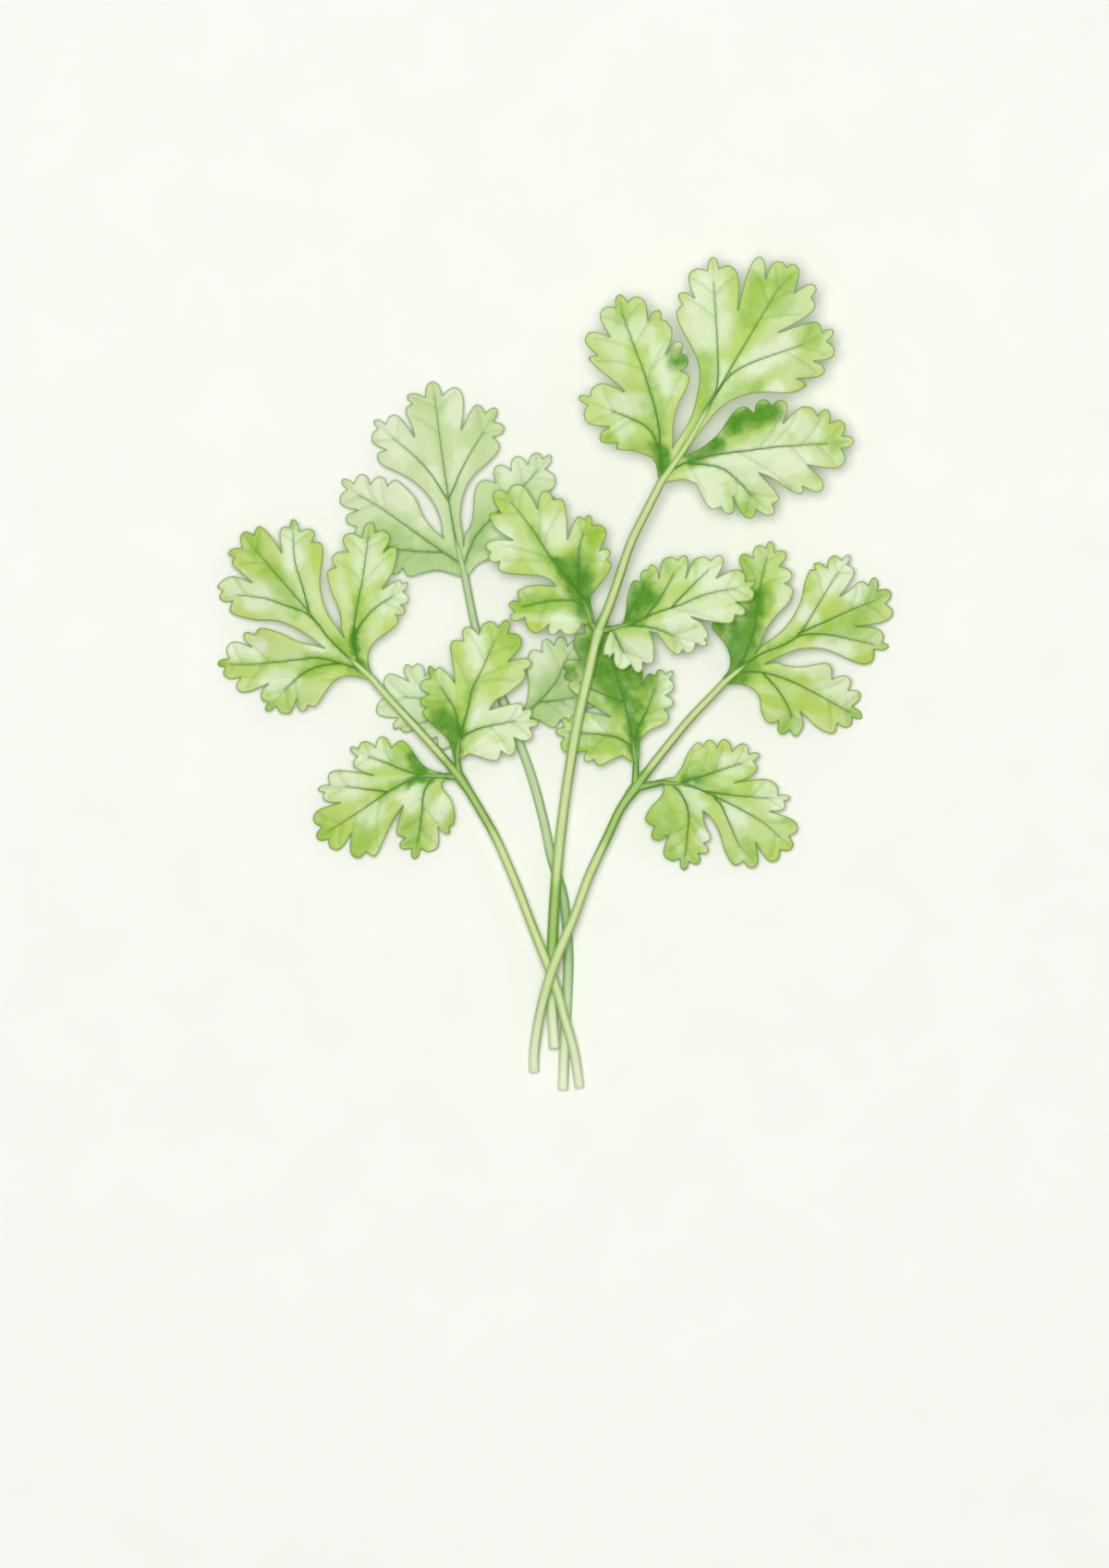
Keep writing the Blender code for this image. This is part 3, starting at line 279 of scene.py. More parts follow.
def stalk_finish(name, cream, green, green_and_shade_colour, line):
    """A stem surface that goes from cream at the cut end to green."""
    sheet = Sheet(name)
    along = sheet.attribute("along")
    fade = sheet.attribute("fade")
    shade = sheet.attribute("shade")
    flank = sheet.attribute("flank")
    spot = sheet.node("ShaderNodeCombineXYZ", {}, {
        "X": flank * STREAKS_ACROSS, "Y": along * STREAKS_ALONG})
    streak = sheet.clouds(1.0, place=spot).band(*STREAK_BAND)
    colour = sheet.mix(along.band(*CREAM_REACH) * streak.between(*CREAM_MIX), cream, green)
    # Painted shade: the flanks darker than the middle, as light from above leaves the sides of
    # a round stem, with less of it near the cut end.
    edges = flank.band(*FLANK_SHADE_BAND) * shade.between(*FLANK_SHADE_MIX) * along.band(*END_REACH)
    # A fuller green from the shade attribute: painted shade where other stalks cross over this
    # one, and the stalk's own greener tone at the node and on the side stalks.
    fresh = shade * SHADE_SHARE + shade.band(*FULL_BAND) * FULL_SHARE
    colour = sheet.mix(edges + fresh + streak * STREAK_SHARE, colour, green_and_shade_colour)
    colour = sheet.mix(fade, colour, line)
    return sheet.finish(
        Base_Color=colour, Roughness=streak.between(*STALK_ROUGHNESS),
        Normal=sheet.bump(sheet.clouds(STALK_GRAIN, STALK_DETAIL), STALK_RELIEF),
        Subsurface_Weight=STALK_SCATTER, Subsurface_Radius=STALK_SCATTER_DEPTH,
        Specular_IOR_Level=STALK_GLOSS)


STALK_CREAM = (0.80, 0.86, 0.62, 1.0)
STALK_GREEN = (0.60, 0.71, 0.27, 1.0)
# One green serves for the painted shade on the flanks and under crossing stalks, and for the
# stalk's fuller green.
STALK_GREEN_AND_SHADE = (0.17, 0.40, 0.04, 1.0)
BACK_STALK_GREEN = (0.44, 0.59, 0.30, 1.0)
BACK_STALK_GREEN_AND_SHADE = (0.25, 0.45, 0.17, 1.0)

FRESH_STALK = stalk_finish(
    "fresh_stalk", STALK_CREAM, STALK_GREEN, STALK_GREEN_AND_SHADE, LINE_GREEN)
BACK_STALK = stalk_finish(
    "back_stalk", STALK_CREAM, BACK_STALK_GREEN, BACK_STALK_GREEN_AND_SHADE, GREY_LINE)
print("stalk finishes", FRESH_STALK.name, BACK_STALK.name)

# %% [markdown]
# A leaf has a few main ribs that fan out from its neck, one to each lobe. Veins like these
# could be painted, but as routes on the table plan they also guide the side veins, the relief
# and the shading. Each route is given in millimetres, and its height comes from the leaf's
# solid later. The stalk's reach is how far it runs on along the first rib. Each leaf also notes
# where painted shade darkens its green, where its green is full and where it is pale, as spots
# (x, y, reach) or strokes (x, y, x, y, reach), and how pale the whole blade is washed. The
# painted shade stands for the shade of folds and of leaves lying above. The centre sprig is the
# tallest, and its leaves lie on top.

# %% Leaves of the centre sprig
LEAVES = {}
LEAVES["leaf_centre_top"] = dict(
    stem_reach=17, wash=0.22,
    ribs=[[(23.1, 41.7), (28.6, 49.6), (34.4, 59.8), (40, 69.4), (50, 86)],
          [(28.6, 49.6), (32.8, 57.4), (35, 62), (35.2, 70), (34.2, 87)],
          [(34.4, 59.8), (40, 66), (56, 72)],
          [(23.1, 41.7), (22.4, 54), (19.6, 64.2), (16.2, 73.4), (14, 80)],
          [(22.8, 48.4), (19.6, 53.6), (10.2, 57.8)],
          [(24.2, 43.4), (28.6, 45.8), (34.8, 47.4), (41, 48.2), (49.2, 49.2), (61.4, 50)],
          [(28.6, 45.6), (35.2, 44.8), (39.2, 42.2), (44.2, 36.8)]],
    deep=[(38.5, 54, 46.5, 57, 3.2), (26.5, 68, 2.6), (23, 44, 22.8, 49, 2.2),
          (30, 47, 35, 50, 2.4)],
    green=[(32.3, 67.5, 32.4, 58.5, 3.2), (38, 60.5, 44, 62, 2.4), (50, 84.5, 48.5, 80, 3.4),
           (44, 85, 42, 76, 2.6), (56, 73, 55.5, 76, 2.6), (54.5, 63, 2.4),
           (22.5, 52, 20.5, 62, 2.6), (11.5, 50.5, 2.4), (19.5, 49, 17, 50, 2.2),
           (14, 77.5, 2.4), (38, 53.5, 46.5, 56, 4.2), (61, 49, 2.2), (40.5, 35.5, 43, 37, 2.4),
           (50, 39, 2)],
    pale=[(33, 82.5, 33.5, 73.5, 5), (35, 63, 36.5, 66.5, 2.2), (43.5, 67.5, 50, 70.5, 3.2),
          (47, 61, 2.6), (20, 73, 18, 75, 3), (14, 58, 18, 58, 3.2), (15, 53, 2.8),
          (24.5, 62, 22, 70, 2.4), (35, 44.5, 52.5, 47, 4.2), (34, 38, 32, 42, 3.8),
          (55, 53, 50, 55, 3.2)])
LEAVES["leaf_centre_left"] = dict(
    stem_reach=3, wash=0,
    ribs=[[(7.8, 11.2), (6.8, 14.6), (4.6, 18.4), (1.4, 22.6), (-1.6, 26.4), (-4.4, 30.8),
           (-8.2, 35.8), (-11, 39)],
          [(6.8, 13.8), (4.6, 15.8), (0.2, 16), (-5.4, 15), (-9, 14)],
          [(5.2, 17.6), (5.2, 23.8), (5.4, 27.6), (7, 33)]],
    deep=[(4.5, 22.5, 7, 15, 4.4), (5, 17, 0.5, 24, 1.5)],
    green=[(-1, 24, -5, 31, 2), (-1, 16, -7, 15.5, 2.6), (-10, 38.5, 2), (8.5, 30, 7, 26, 2.6)],
    pale=[(0, 33.5, 1, 30, 3.6), (-11.5, 25.5, -11, 31, 3.6), (3, 11, 0.5, 10, 3.2),
          (10.5, 25.5, 1.8)])
LEAVES["leaf_centre_right"] = dict(
    stem_reach=3, wash=0.25,
    ribs=[[(12, 9.8), (17.6, 11.4), (22.2, 13.4), (27.2, 15), (33, 17.4), (41.6, 19)],
          [(14.6, 10.8), (18.4, 17), (20, 22.4)],
          [(19.6, 12.2), (23.4, 17.4), (27, 24.2)],
          [(25.2, 14.4), (30, 19.4), (35, 24.2)],
          [(15, 10.6), (21.4, 10), (28.4, 7.2)],
          [(12.6, 9.6), (13.8, 7), (16.2, 2.4)]],
    deep=[(16.5, 13.5, 19.5, 17, 3.8)],
    green=[(14, 10.5, 19, 12.5, 2), (20, 20.5, 21, 17, 3), (24, 23.5, 1.8), (29, 25, 1.6)],
    pale=[(26, 12.5, 34, 14, 3.2), (34, 20.5, 38, 18, 3.8), (29, 8, 32, 7, 3.2),
          (13, 6, 18, 4, 4.2)])
print("leaves so far", len(LEAVES))

# %% [markdown]
# The left sprig leans out over the one at the back. Its end leaf spreads in three
# leaflets, each with a rib of its own that forks.

# %% Leaves of the left sprig
LEAVES["leaf_left_top"] = dict(
    stem_reach=4.5, wash=0.15,
    ribs=[[(-39.6, -0.8), (-42.2, 1.6), (-48.4, 7.4), (-53.2, 13.6), (-56.8, 17.8),
           (-60.8, 22.4), (-66.4, 29)],
          [(-53, 13.4), (-54.6, 19.4), (-56.2, 24.8), (-56.6, 32.6)],
          [(-50.8, 10.6), (-54, 13.4), (-58.4, 15), (-63.2, 16.6), (-71, 17.4)],
          [(-42, 1.4), (-43.4, 6.8), (-43.2, 11.6), (-42.2, 17.2), (-41.4, 21.2), (-40, 32)],
          [(-43.2, 8.4), (-41.2, 11.8), (-38.2, 14.8), (-33, 18)],
          [(-41.4, 0.8), (-46.8, 2.6), (-51.4, 3.6), (-57.4, 3), (-66.2, 2.2), (-72.4, 2.4)],
          [(-46, 2.4), (-50.8, 1.8), (-55, -0.2), (-60.2, -5.2)]],
    deep=[(-43.2, 2, -41, 1, 1.8), (-43.4, 4.5, -43.3, 9, 1)],
    green=[(-43.2, 8, -42, 16, 1.8), (-46, 7, -42.5, 6, 2.6), (-45.5, 3, -53, 3.5, 1.6),
           (-54, 0.5, -49, 2, 1.6), (-65.5, 30, -65, 26.5, 2.4), (-56, 14.5, -61.5, 23, 2.6),
           (-72.5, 2.5, 2.2), (-62, -7, -59, -7.5, 2), (-41.5, 30, -40, 31, 1.5),
           (-56.5, 32, 1.6)],
    pale=[(-41, 28, -40, 23, 4.2), (-34, 19, -36, 15.5, 3.2), (-57.5, 29, -57, 25, 2.8),
          (-70, 19.5, -64, 17, 3.6), (-69, 5, -65, 5.5, 2.8), (-61, -2, -57.5, -1.5, 3.2),
          (-51.5, 5.5, 2.2)])
LEAVES["leaf_left_inner"] = dict(
    stem_reach=3, wash=0.15,
    ribs=[[(-21.1, -18.4), (-20.6, -14), (-18.8, -7.8), (-17.8, -3.2), (-16, 0.4), (-13.4, 6.4),
           (-12.2, 10.4)],
          [(-20.6, -13.6), (-21.4, -8.2), (-23.4, -4.6), (-26, -0.6)],
          [(-20.8, -15.2), (-20, -13.6), (-16.6, -11.8), (-12.4, -10.8), (-6, -9.6)]],
    deep=[(-24.5, -9.5, -21.8, -13, 3.4), (-21.2, -17.5, -21, -11, 1.2)],
    green=[(-26, -6, -22, -9, 3.6), (-27.5, 1, 2.2), (-10, 9, -7.5, 6.5, 2.8), (-5, 0, 2),
           (-19, -7, -17.5, -2.5, 1.8)],
    pale=[(-17, 6.5, -16.5, 3, 3.2), (-15, -9.5, -7.5, -11, 4.2), (-9, -7.5, 2.8),
          (-16, -16, -11.5, -18, 2.8)])
LEAVES["leaf_left_outer"] = dict(
    stem_reach=3.5, wash=0.15,
    ribs=[[(-23.6, -22), (-28.8, -22), (-32.4, -23.4), (-36, -25.4), (-40.4, -28.4),
           (-46.8, -32.6), (-51, -35)],
          [(-28.8, -21.9), (-32.8, -20.6), (-36.8, -19), (-42.6, -17)],
          [(-26, -22), (-28.2, -25.4), (-28.8, -30.8), (-30, -38.6)],
          [(-36, -25.4), (-42.4, -24.6), (-49.6, -23.6)]],
    deep=[(-31, -18, -28, -21, 2), (-24.5, -21.8, -31, -22.6, 1.2)],
    green=[(-32.5, -17, -30.5, -20, 3.8), (-33, -23.6, -37, -26, 1.6),
           (-51.5, -31.5, -50, -35.5, 2.6), (-42.5, -38.5, -41, -34, 2.8),
           (-22, -34, -21.5, -30.5, 2), (-31, -34, -31, -38, 3.2)],
    pale=[(-30, -27.5, -31.5, -25, 3.2), (-49, -25, -44, -24, 3.4), (-38.5, -29, -41, -31, 2.6),
          (-26, -30, -24, -28.5, 2.2), (-41.5, -18.5, -37.5, -17, 2.4)])
print("leaves so far", len(LEAVES))

# %% [markdown]
# The sprig at the back lies lowest, and other leaves cover parts of its side leaves. A
# few ribs and tints are enough for what shows.

# %% Leaves of the back sprig
LEAVES["leaf_back_top"] = dict(
    stem_reach=6, wash=0.15,
    ribs=[[(-19.4, 21.2), (-21.4, 29.4), (-22.6, 36), (-23.2, 40), (-24.6, 49.4), (-25.6, 57.4),
           (-26.4, 62.4)],
          [(-22.8, 37.4), (-28.4, 45.4), (-37, 53)],
          [(-22.8, 38.2), (-19, 46.6), (-14, 54.6)],
          [(-20.2, 24), (-22.4, 25.4), (-27.6, 29), (-32.4, 32.4), (-39, 37), (-45.6, 40.4)],
          [(-24, 26.4), (-33, 27), (-40, 28.4)],
          [(-19.8, 23), (-18.6, 26.6), (-17, 30), (-14.4, 33), (-8, 39.4), (-2, 46)]],
    deep=[],
    green=[(-33, 26, -25, 23, 5.4), (-38, 31, -33, 29, 3.6), (-16.5, 28, -17, 34, 3.2)],
    pale=[(-36.5, 54, -33, 49.5, 3.8), (-20.5, 60.5, -21, 56, 3.2), (-21, 43.5, -20, 47, 2.4),
          (-26.5, 43.5, 2.4), (-41.5, 42, -33, 38, 3.4), (-28, 33, 2.4),
          (-10, 44, -1.5, 45, 3.4)])
LEAVES["leaf_back_left"] = dict(
    stem_reach=2, wash=0,
    ribs=[[(-12.6, -8.8), (-20, -7), (-28, -5.4), (-37.4, -4.4)],
          [(-20, -7.2), (-24, -8.6), (-31.6, -11.6)]],
    deep=[],
    green=[(-15, -8.6, 4)],
    pale=[(-36, -4, -26, -6, 6), (-28, -13.5, -24, -14.5, 4), (-28, 0, 5)])
LEAVES["leaf_back_right"] = dict(
    stem_reach=2, wash=0,
    ribs=[[(-7.2, -9), (-4.8, -7.2), (-0.6, -2.8), (2, 2), (4, 6.4)],
          [(-3.4, -6), (2, -5.4), (7, -4.4)]],
    deep=[],
    green=[(-3.5, -8.5, 0, -6, 4.2), (-1, -2, 3, -5, 4.4)],
    pale=[(-4, 4, -3, 2, 4.2), (3, -7.6, 3)])
print("leaves so far", len(LEAVES))

# %% [markdown]
# The right sprig has the darkest leaf: its inner side leaf is deep green nearly all
# over, in the shade of the leaves above it.

# %% Leaves of the right sprig
LEAVES["leaf_right_top"] = dict(
    stem_reach=4, wash=0.1,
    ribs=[[(36.6, -1.8), (40.2, 1.2), (44.6, 4.4), (50, 6.6), (53.4, 9.4), (58.4, 17.4),
           (63, 24.4)],
          [(38.6, 0.2), (39.8, 1.6), (41.6, 5), (43.2, 9.8), (43.8, 14.4), (44.8, 20.6),
           (46.6, 27.4)],
          [(52.6, 8.8), (59.4, 11.8), (65.2, 14.4), (72, 17)],
          [(50.4, 6.9), (54, 8.6), (59.4, 8.6), (65.2, 7.4), (71.6, 6)],
          [(39.2, 0.4), (41.6, 0.6), (45.2, 0.4), (50.6, -1.2), (56.4, -4), (61.8, -7),
           (66, -9)],
          [(45.2, 0.2), (48.2, -3.2), (50.6, -7), (52, -12)]],
    deep=[(40, 9, 39, 0, 4.6), (41.5, 7, 43.8, 16, 3.2), (35.5, 10, 3), (36.5, 20, 2.4)],
    green=[(45, 13, 45.5, 18, 2.2), (40.5, 26, 43, 22, 2.8), (60, 9.5, 66, 12, 3.4),
           (55, 9, 59, 9.5, 2.2), (71.5, 18, 69, 15.5, 2.4), (51.5, 13.5, 53, 18, 1.8),
           (43, 2, 50.5, 7.5, 1.6), (50.5, -10.5, 49, -13, 2.4), (65, -8.5, 2)],
    pale=[(51, 20, 50, 16, 3.2), (59, 20.5, 63, 23.5, 3.4), (64.5, 18, 2.8),
          (56, 11, 54, 13.5, 2.4), (58, 7, 63, 6, 2.2), (52, 3, 63, -0.5, 2.8),
          (63, -4.5, 59, -2.5, 3.2)])
LEAVES["leaf_right_inner"] = dict(
    stem_reach=3, wash=0,
    ribs=[[(17.6, -19.2), (16.6, -12.6), (15, -5.6), (13.4, -0.2), (11, 8.6)],
          [(17.2, -16), (17.8, -12.6), (20.2, -7.2), (22.6, -0.6)],
          [(17.2, -16.6), (15.6, -14.8), (12.6, -13.4), (5.6, -12.6), (1, -12.8)],
          [(15, -6), (9, -3.6), (3, -0.4)]],
    deep=[(11, 1, 18, 1, 5.6), (16.6, -1, 17.3, -16, 2.2), (8, 5, 5.4), (12, -3, 15.5, -5, 3.6),
          (2.5, 0.5, 2.6)],
    green=[(21, -7, 19.5, -2, 3), (9, -7, 13, -9.5, 3), (13, -15, 5, -15, 3)],
    pale=[(23, -5, 24.5, -1, 2.6), (10, -11, 5, -13, 2.6)])
LEAVES["leaf_right_outer"] = dict(
    stem_reach=3.5, wash=0.1,
    ribs=[[(23.2, -23.3), (29, -24), (33.4, -25.8), (39.2, -28.6), (45.4, -32.2), (50.6, -37)],
          [(27.2, -23.4), (31.4, -22.2), (36.8, -20.4), (43, -18.4)],
          [(32.2, -25.2), (39.2, -26.2), (49, -27)],
          [(25.4, -23.6), (27.6, -26.2), (29, -30.2), (28.6, -36.4), (28, -41.6)],
          [(34.4, -26.4), (36.2, -28.6), (38.8, -34.4), (41, -39.6)]],
    deep=[(28, -22.4, 31, -22.3, 1.4)],
    green=[(28.5, -20.5, 34, -20.5, 2.4), (32, -23, 37, -25.5, 1.6),
           (20.5, -31, 22.5, -34.5, 3), (24.5, -39, 28, -41.5, 2.8), (23, -26.5, 25.5, -33, 2),
           (37.5, -39.5, 2.2), (51, -31.5, 1.8), (43, -40.5, 42.5, -37, 2)],
    pale=[(31, -28, 29, -25.5, 2.8), (38, -20, 42, -18, 3.2), (40, -31, 38, -29.5, 2.4),
          (45.5, -25.5, 49, -27.5, 3.2), (32.5, -35, 2.2)])
print("ribs", {name: len(leaf["ribs"]) for name, leaf in LEAVES.items()})

# %% [markdown]
# A blade's solid has an upper face, a lower face and upright walls. Its upper face
# gives both things that the fine blade needs: the ring round it is the toothed edge,
# and its height less half the thickness is the middle of the blade. The solid arrives
# as loose triangles, so a copy is merged first.

# %% Read a leaf solid
CAD_THICKNESS = 0.8
MERGE = 0.00001
WALL_SLOPE = 0.3


class LeafSolid:
    """The toothed ring and the height of one leaf solid, in plan millimetres."""

    def __init__(self, node):
        work = bmesh.new()
        work.from_mesh(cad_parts[node].data)
        bmesh.ops.remove_doubles(work, verts=work.verts, dist=MERGE)
        work.normal_update()
        below = [face for face in work.faces if face.normal.z < WALL_SLOPE]
        bmesh.ops.delete(work, geom=below, context="FACES")
        self.ring = self.longest_ring(work)
        places = [to_plan(v.co) for v in work.verts]
        work.verts.index_update()
        self.faces = [[v.index for v in face.verts] for face in work.faces]
        self.tops = places
        self.flat = [Vector((p.x, p.y, 0.0)) for p in places]
        self.finder = BVHTree.FromPolygons(self.flat, self.faces)
        work.free()

    def longest_ring(self, work):
        rings = []
        left = {edge for edge in work.edges if len(edge.link_faces) == 1}
        while left:
            edge = left.pop()
            ring = [edge.verts[0], edge.verts[1]]
            while True:
                onward = [e for e in ring[-1].link_edges if e in left]
                if not onward:
                    break
                left.remove(onward[0])
                ring.append(onward[0].other_vert(ring[-1]))
            rings.append([to_plan(v.co).to_2d() for v in ring[:-1]])
        return max(rings, key=len)

    def height(self, x, y):
        """Height of the blade's middle over a plan point."""
        place, _, index, _ = self.finder.find_nearest(Vector((x, y, 0.0)))
        corners = self.faces[index]
        flat = [self.flat[i] for i in corners]
        real = [self.tops[i] for i in corners]
        return barycentric_transform(place, *flat, *real).z - CAD_THICKNESS / 2


SOLIDS = {name: LeafSolid(name) for name in LEAVES}
print("ring points", {name: len(solid.ring) for name, solid in SOLIDS.items()})

# %% [markdown]
# The solid's teeth are drawn with straight sides. A bevel would soften the notches
# too, so each outer corner is cut twice instead, which rounds it, and the sharp notches
# between the teeth are kept, as on a real leaf. A corner is a notch where the ring turns
# inwards by a large angle.

# %% Round the teeth
NOTCH_TURN = math.radians(35)
CORNER_CUT = 0.25
ROUNDING_PASSES = 2
WIDEST_TOOTH = 13.0


def area(ring):
    total = 0.0
    for a, b in zip(ring, ring[1:] + ring[:1]):
        total += a.x * b.y - b.x * a.y
    return total / 2


def notch_marks(ring):
    """Which corners of the ring are notches."""
    turn = math.copysign(1.0, area(ring))
    marks = []
    for i, point in enumerate(ring):
        coming = point - ring[i - 1]
        going = ring[(i + 1) % len(ring)] - point
        angle = math.atan2(coming.x * going.y - coming.y * going.x, coming.dot(going)) * turn
        marks.append(angle < -NOTCH_TURN)
    return marks


def rounded(ring):
    """The ring with its outer corners cut round and its notches kept sharp."""
    sharp = notch_marks(ring)
    for _ in range(ROUNDING_PASSES):
        points = []
        marks = []
        for i, point in enumerate(ring):
            if sharp[i]:
                points.append(point)
                marks.append(True)
                continue
            points.append(point.lerp(ring[i - 1], CORNER_CUT))
            points.append(point.lerp(ring[(i + 1) % len(ring)], CORNER_CUT))
            marks.extend([False, False])
        ring, sharp = points, marks
    return ring


def tooth_tips(ring):
    """The outermost corner of each tooth, between one notch and the next."""
    notches = [i for i, mark in enumerate(notch_marks(ring)) if mark]
    tips = []
    for a, b in zip(notches, notches[1:] + [notches[0] + len(ring)]):
        run = [ring[i % len(ring)] for i in range(a + 1, b)]
        start = ring[a]
        chord = ring[b % len(ring)] - start
        if run and chord.length < WIDEST_TOOTH:
            tips.append(max(run, key=lambda p: abs((p - start).cross(chord))))
    return tips


TIPS = {name: tooth_tips(solid.ring) for name, solid in SOLIDS.items()}
print("teeth", sum(len(tips) for tips in TIPS.values()))

# %% [markdown]
# On a real leaf each tooth is fed by a vein that leaves a main rib at a forward slant.
# Drawing hundreds by hand would be slow, so they follow a rule. For every tooth the rule
# tries points along the ribs and takes the shortest route that bends least and stays on
# the blade.

# %% Side veins
VEIN_STEP = 0.8
STRAY_COST = 1.1
WIDEST_SLANT = math.radians(62)
VEIN_BOW = 0.12
VEIN_REACH = 0.82
VEIN_TESTS = (0.25, 0.5, 0.75, 0.93)
SHORTEST_VEIN = 1.5
BEST_SLANT = 0.55
RIB_END_GAP = 3


def is_inside(point, ring):
    inside = False
    for a, b in zip(ring, ring[1:] + ring[:1]):
        if (a.y > point.y) != (b.y > point.y):
            if point.x < a.x + (b.x - a.x) * (point.y - a.y) / (b.y - a.y):
                inside = not inside
    return inside


def smooth_line(points, step):
    """Points along a smooth curve through the given ones."""
    knots = [Vector(p) for p in points]
    ends = [2 * knots[0] - knots[1]] + knots + [2 * knots[-1] - knots[-2]]
    line = [knots[0]]
    for a, b, c, d in zip(ends, ends[1:], ends[2:], ends[3:]):
        pieces = max(1, round((c - b).length / step))
        for i in range(1, pieces + 1):
            t = i / pieces
            line.append(0.5 * (2 * b + (c - a) * t + (2 * a - 5 * b + 4 * c - d) * t ** 2
                               + (3 * b - a - 3 * c + d) * t ** 3))
    return line


def paced(line):
    """Each point of a line, after its distance from the start."""
    gone = 0.0
    for last, point in zip(line[:1] + line, line):
        gone += (point - last).length
        yield gone, point


def side_vein(tip, ribs, ring):
    """A bowed line from the best place on a rib to a tooth tip."""
    best = None
    for rib in ribs:
        for a, b in zip(rib, rib[1:]):
            way = tip - a
            if way.length < SHORTEST_VEIN:
                continue
            slant = way.angle(b - a)
            if slant > WIDEST_SLANT:
                continue
            cost = way.length * (1.0 + STRAY_COST * abs(slant - BEST_SLANT))
            if best is None or cost < best[0]:
                inner = [a + way * part for part in VEIN_TESTS]
                if all(is_inside(p, ring) for p in inner):
                    best = (cost, a, b - a)
    if best is None:
        return None
    _, start, ahead = best
    end = start.lerp(tip, VEIN_REACH)
    way = end - start
    bend = start + way * 0.5 + ahead.normalized() * way.length * VEIN_BOW
    count = max(3, round(way.length / VEIN_STEP))
    line = []
    for i in range(count + 1):
        t = i / count
        line.append(start * (1 - t) ** 2 + bend * 2 * t * (1 - t) + end * t ** 2)
    return line


def kept_inside(line, ring):
    """The start of the line, up to the last point with room to the edge."""
    kept = [line[0]]
    for point in line[1:]:
        if len(kept) > RIB_END_GAP and not is_inside(point, ring):
            break
        kept.append(point)
    return kept[:-RIB_END_GAP]


RIBS = {name: [kept_inside(smooth_line(rib, VEIN_STEP), SOLIDS[name].ring)
               for rib in leaf["ribs"]] for name, leaf in LEAVES.items()}
VEINS = {}
for name in LEAVES:
    found = [side_vein(tip, RIBS[name], SOLIDS[name].ring) for tip in TIPS[name]]
    VEINS[name] = [vein for vein in found if vein]
print("side veins", sum(len(veins) for veins in VEINS.values()))

# %% [markdown]
# The fine blade is made flat first, as a web of small triangles. A plain grid would
# leave the veins ragged, so Blender's own triangulation joins the rounded ring, a close
# grid of points inside it, and the veins as lines that triangles must follow.

# %% Flat blades
BLADE_GRID = 0.62
EDGE_ROOM = 0.3
VEIN_ROOM = 0.28
FINDER_STEP = 0.12
JOIN_LIMIT = 0.02


def finder_of(lines):
    """A nearest-point finder on closely spaced points of the lines."""
    points = []
    for line in lines:
        for a, b in zip(line, line[1:]):
            count = max(1, round((b - a).length / FINDER_STEP))
            points.extend(a.lerp(b, i / count) for i in range(count))
        points.append(line[-1])
    tree = kdtree.KDTree(len(points))
    for i, point in enumerate(points):
        tree.insert((point.x, point.y, 0.0), i)
    tree.balance()
    return lambda p: tree.find((p.x, p.y, 0.0))[2]


def flat_blade(ring, veins, to_edge, to_vein):
    """Plan points and triangles of a blade, with the veins as edges."""
    low_x, high_x = min(p.x for p in ring), max(p.x for p in ring)
    low_y, high_y = min(p.y for p in ring), max(p.y for p in ring)
    row_step = BLADE_GRID * math.sqrt(3) / 2
    inner = []
    for row in range(int((high_y - low_y) / row_step) + 1):
        for column in range(int((high_x - low_x) / BLADE_GRID) + 2):
            point = Vector((low_x + (column - 0.5 * (row % 2)) * BLADE_GRID,
                            low_y + row * row_step))
            if to_edge(point) > EDGE_ROOM and to_vein(point) > VEIN_ROOM:
                if is_inside(point, ring):
                    inner.append(point)
    points = ring + inner
    lines = []
    for vein in veins:
        kept = [p for p in vein if is_inside(p, ring) and to_edge(p) > EDGE_ROOM]
        lines.extend((len(points) + i, len(points) + i + 1) for i in range(len(kept) - 1))
        points = points + kept
    result = delaunay_2d_cdt(points, lines, [list(range(len(ring)))], 1, JOIN_LIMIT)
    return result[0], result[2]


print("points inside a blade are", BLADE_GRID, "mm apart")

# %% [markdown]
# The finish reads six numbers at each point of a blade. Vein and rim say how near a vein or the
# edge is. Three more say how far the point lies inside the leaf's own spots and strokes of
# painted shade, of full green and of pale, with a little drift, because a real patch has no
# plain edge. Stroke is a streak that runs outwards from the neck, as the tissue does.

# %% Tints
TINT_GRAIN = 2.6
TINT_DRIFT = 1.3
TINT_SPREAD = 1.3
TINT_CRISPNESS = 1.25
TINT_SLICE = 3.0
TINT_SOFTNESS = 0.8
TINT_GAP = 2.2
TINT_LAYERS = 3
GREEN_SHARE = 0.8
VEIN_FADING = 0.6
RIB_LINE = 0.24
SIDE_LINE = 0.2
SIDE_STRENGTH = 0.28
RIB_SHADE_WIDTH = 1.5
RIB_SHADE_REACH = 9.0
STROKES = 5.0
STROKE_LENGTH = 16.0


def falloff(distance, reach):
    """1 at the place itself, and softly down to nothing past the reach."""
    return math.exp(-(distance / reach) ** 2)


def tint(point, strokes):
    """How strongly a point is inside the given spots and strokes, from 0 to 1."""
    best = 0.0
    grain = Vector((point.x, point.y, TINT_SLICE)) / TINT_GRAIN
    drift = noise.fractal(grain, TINT_SOFTNESS, TINT_GAP, TINT_LAYERS) * TINT_DRIFT
    for stroke in strokes:
        start = Vector(stroke[:2])
        way = Vector(stroke[-3:-1]) - start
        reach = stroke[-1] * TINT_SPREAD
        part = (point - start).dot(way) / max(way.length_squared, TINT_DRIFT)
        nearest = start + way * min(max(part, 0.0), 1.0)
        distance = (point - nearest).length + drift
        best = max(best, 1.0 - distance / reach)
    best = min(max(best * TINT_CRISPNESS, 0.0), 1.0)
    return best * best * (3 - 2 * best)


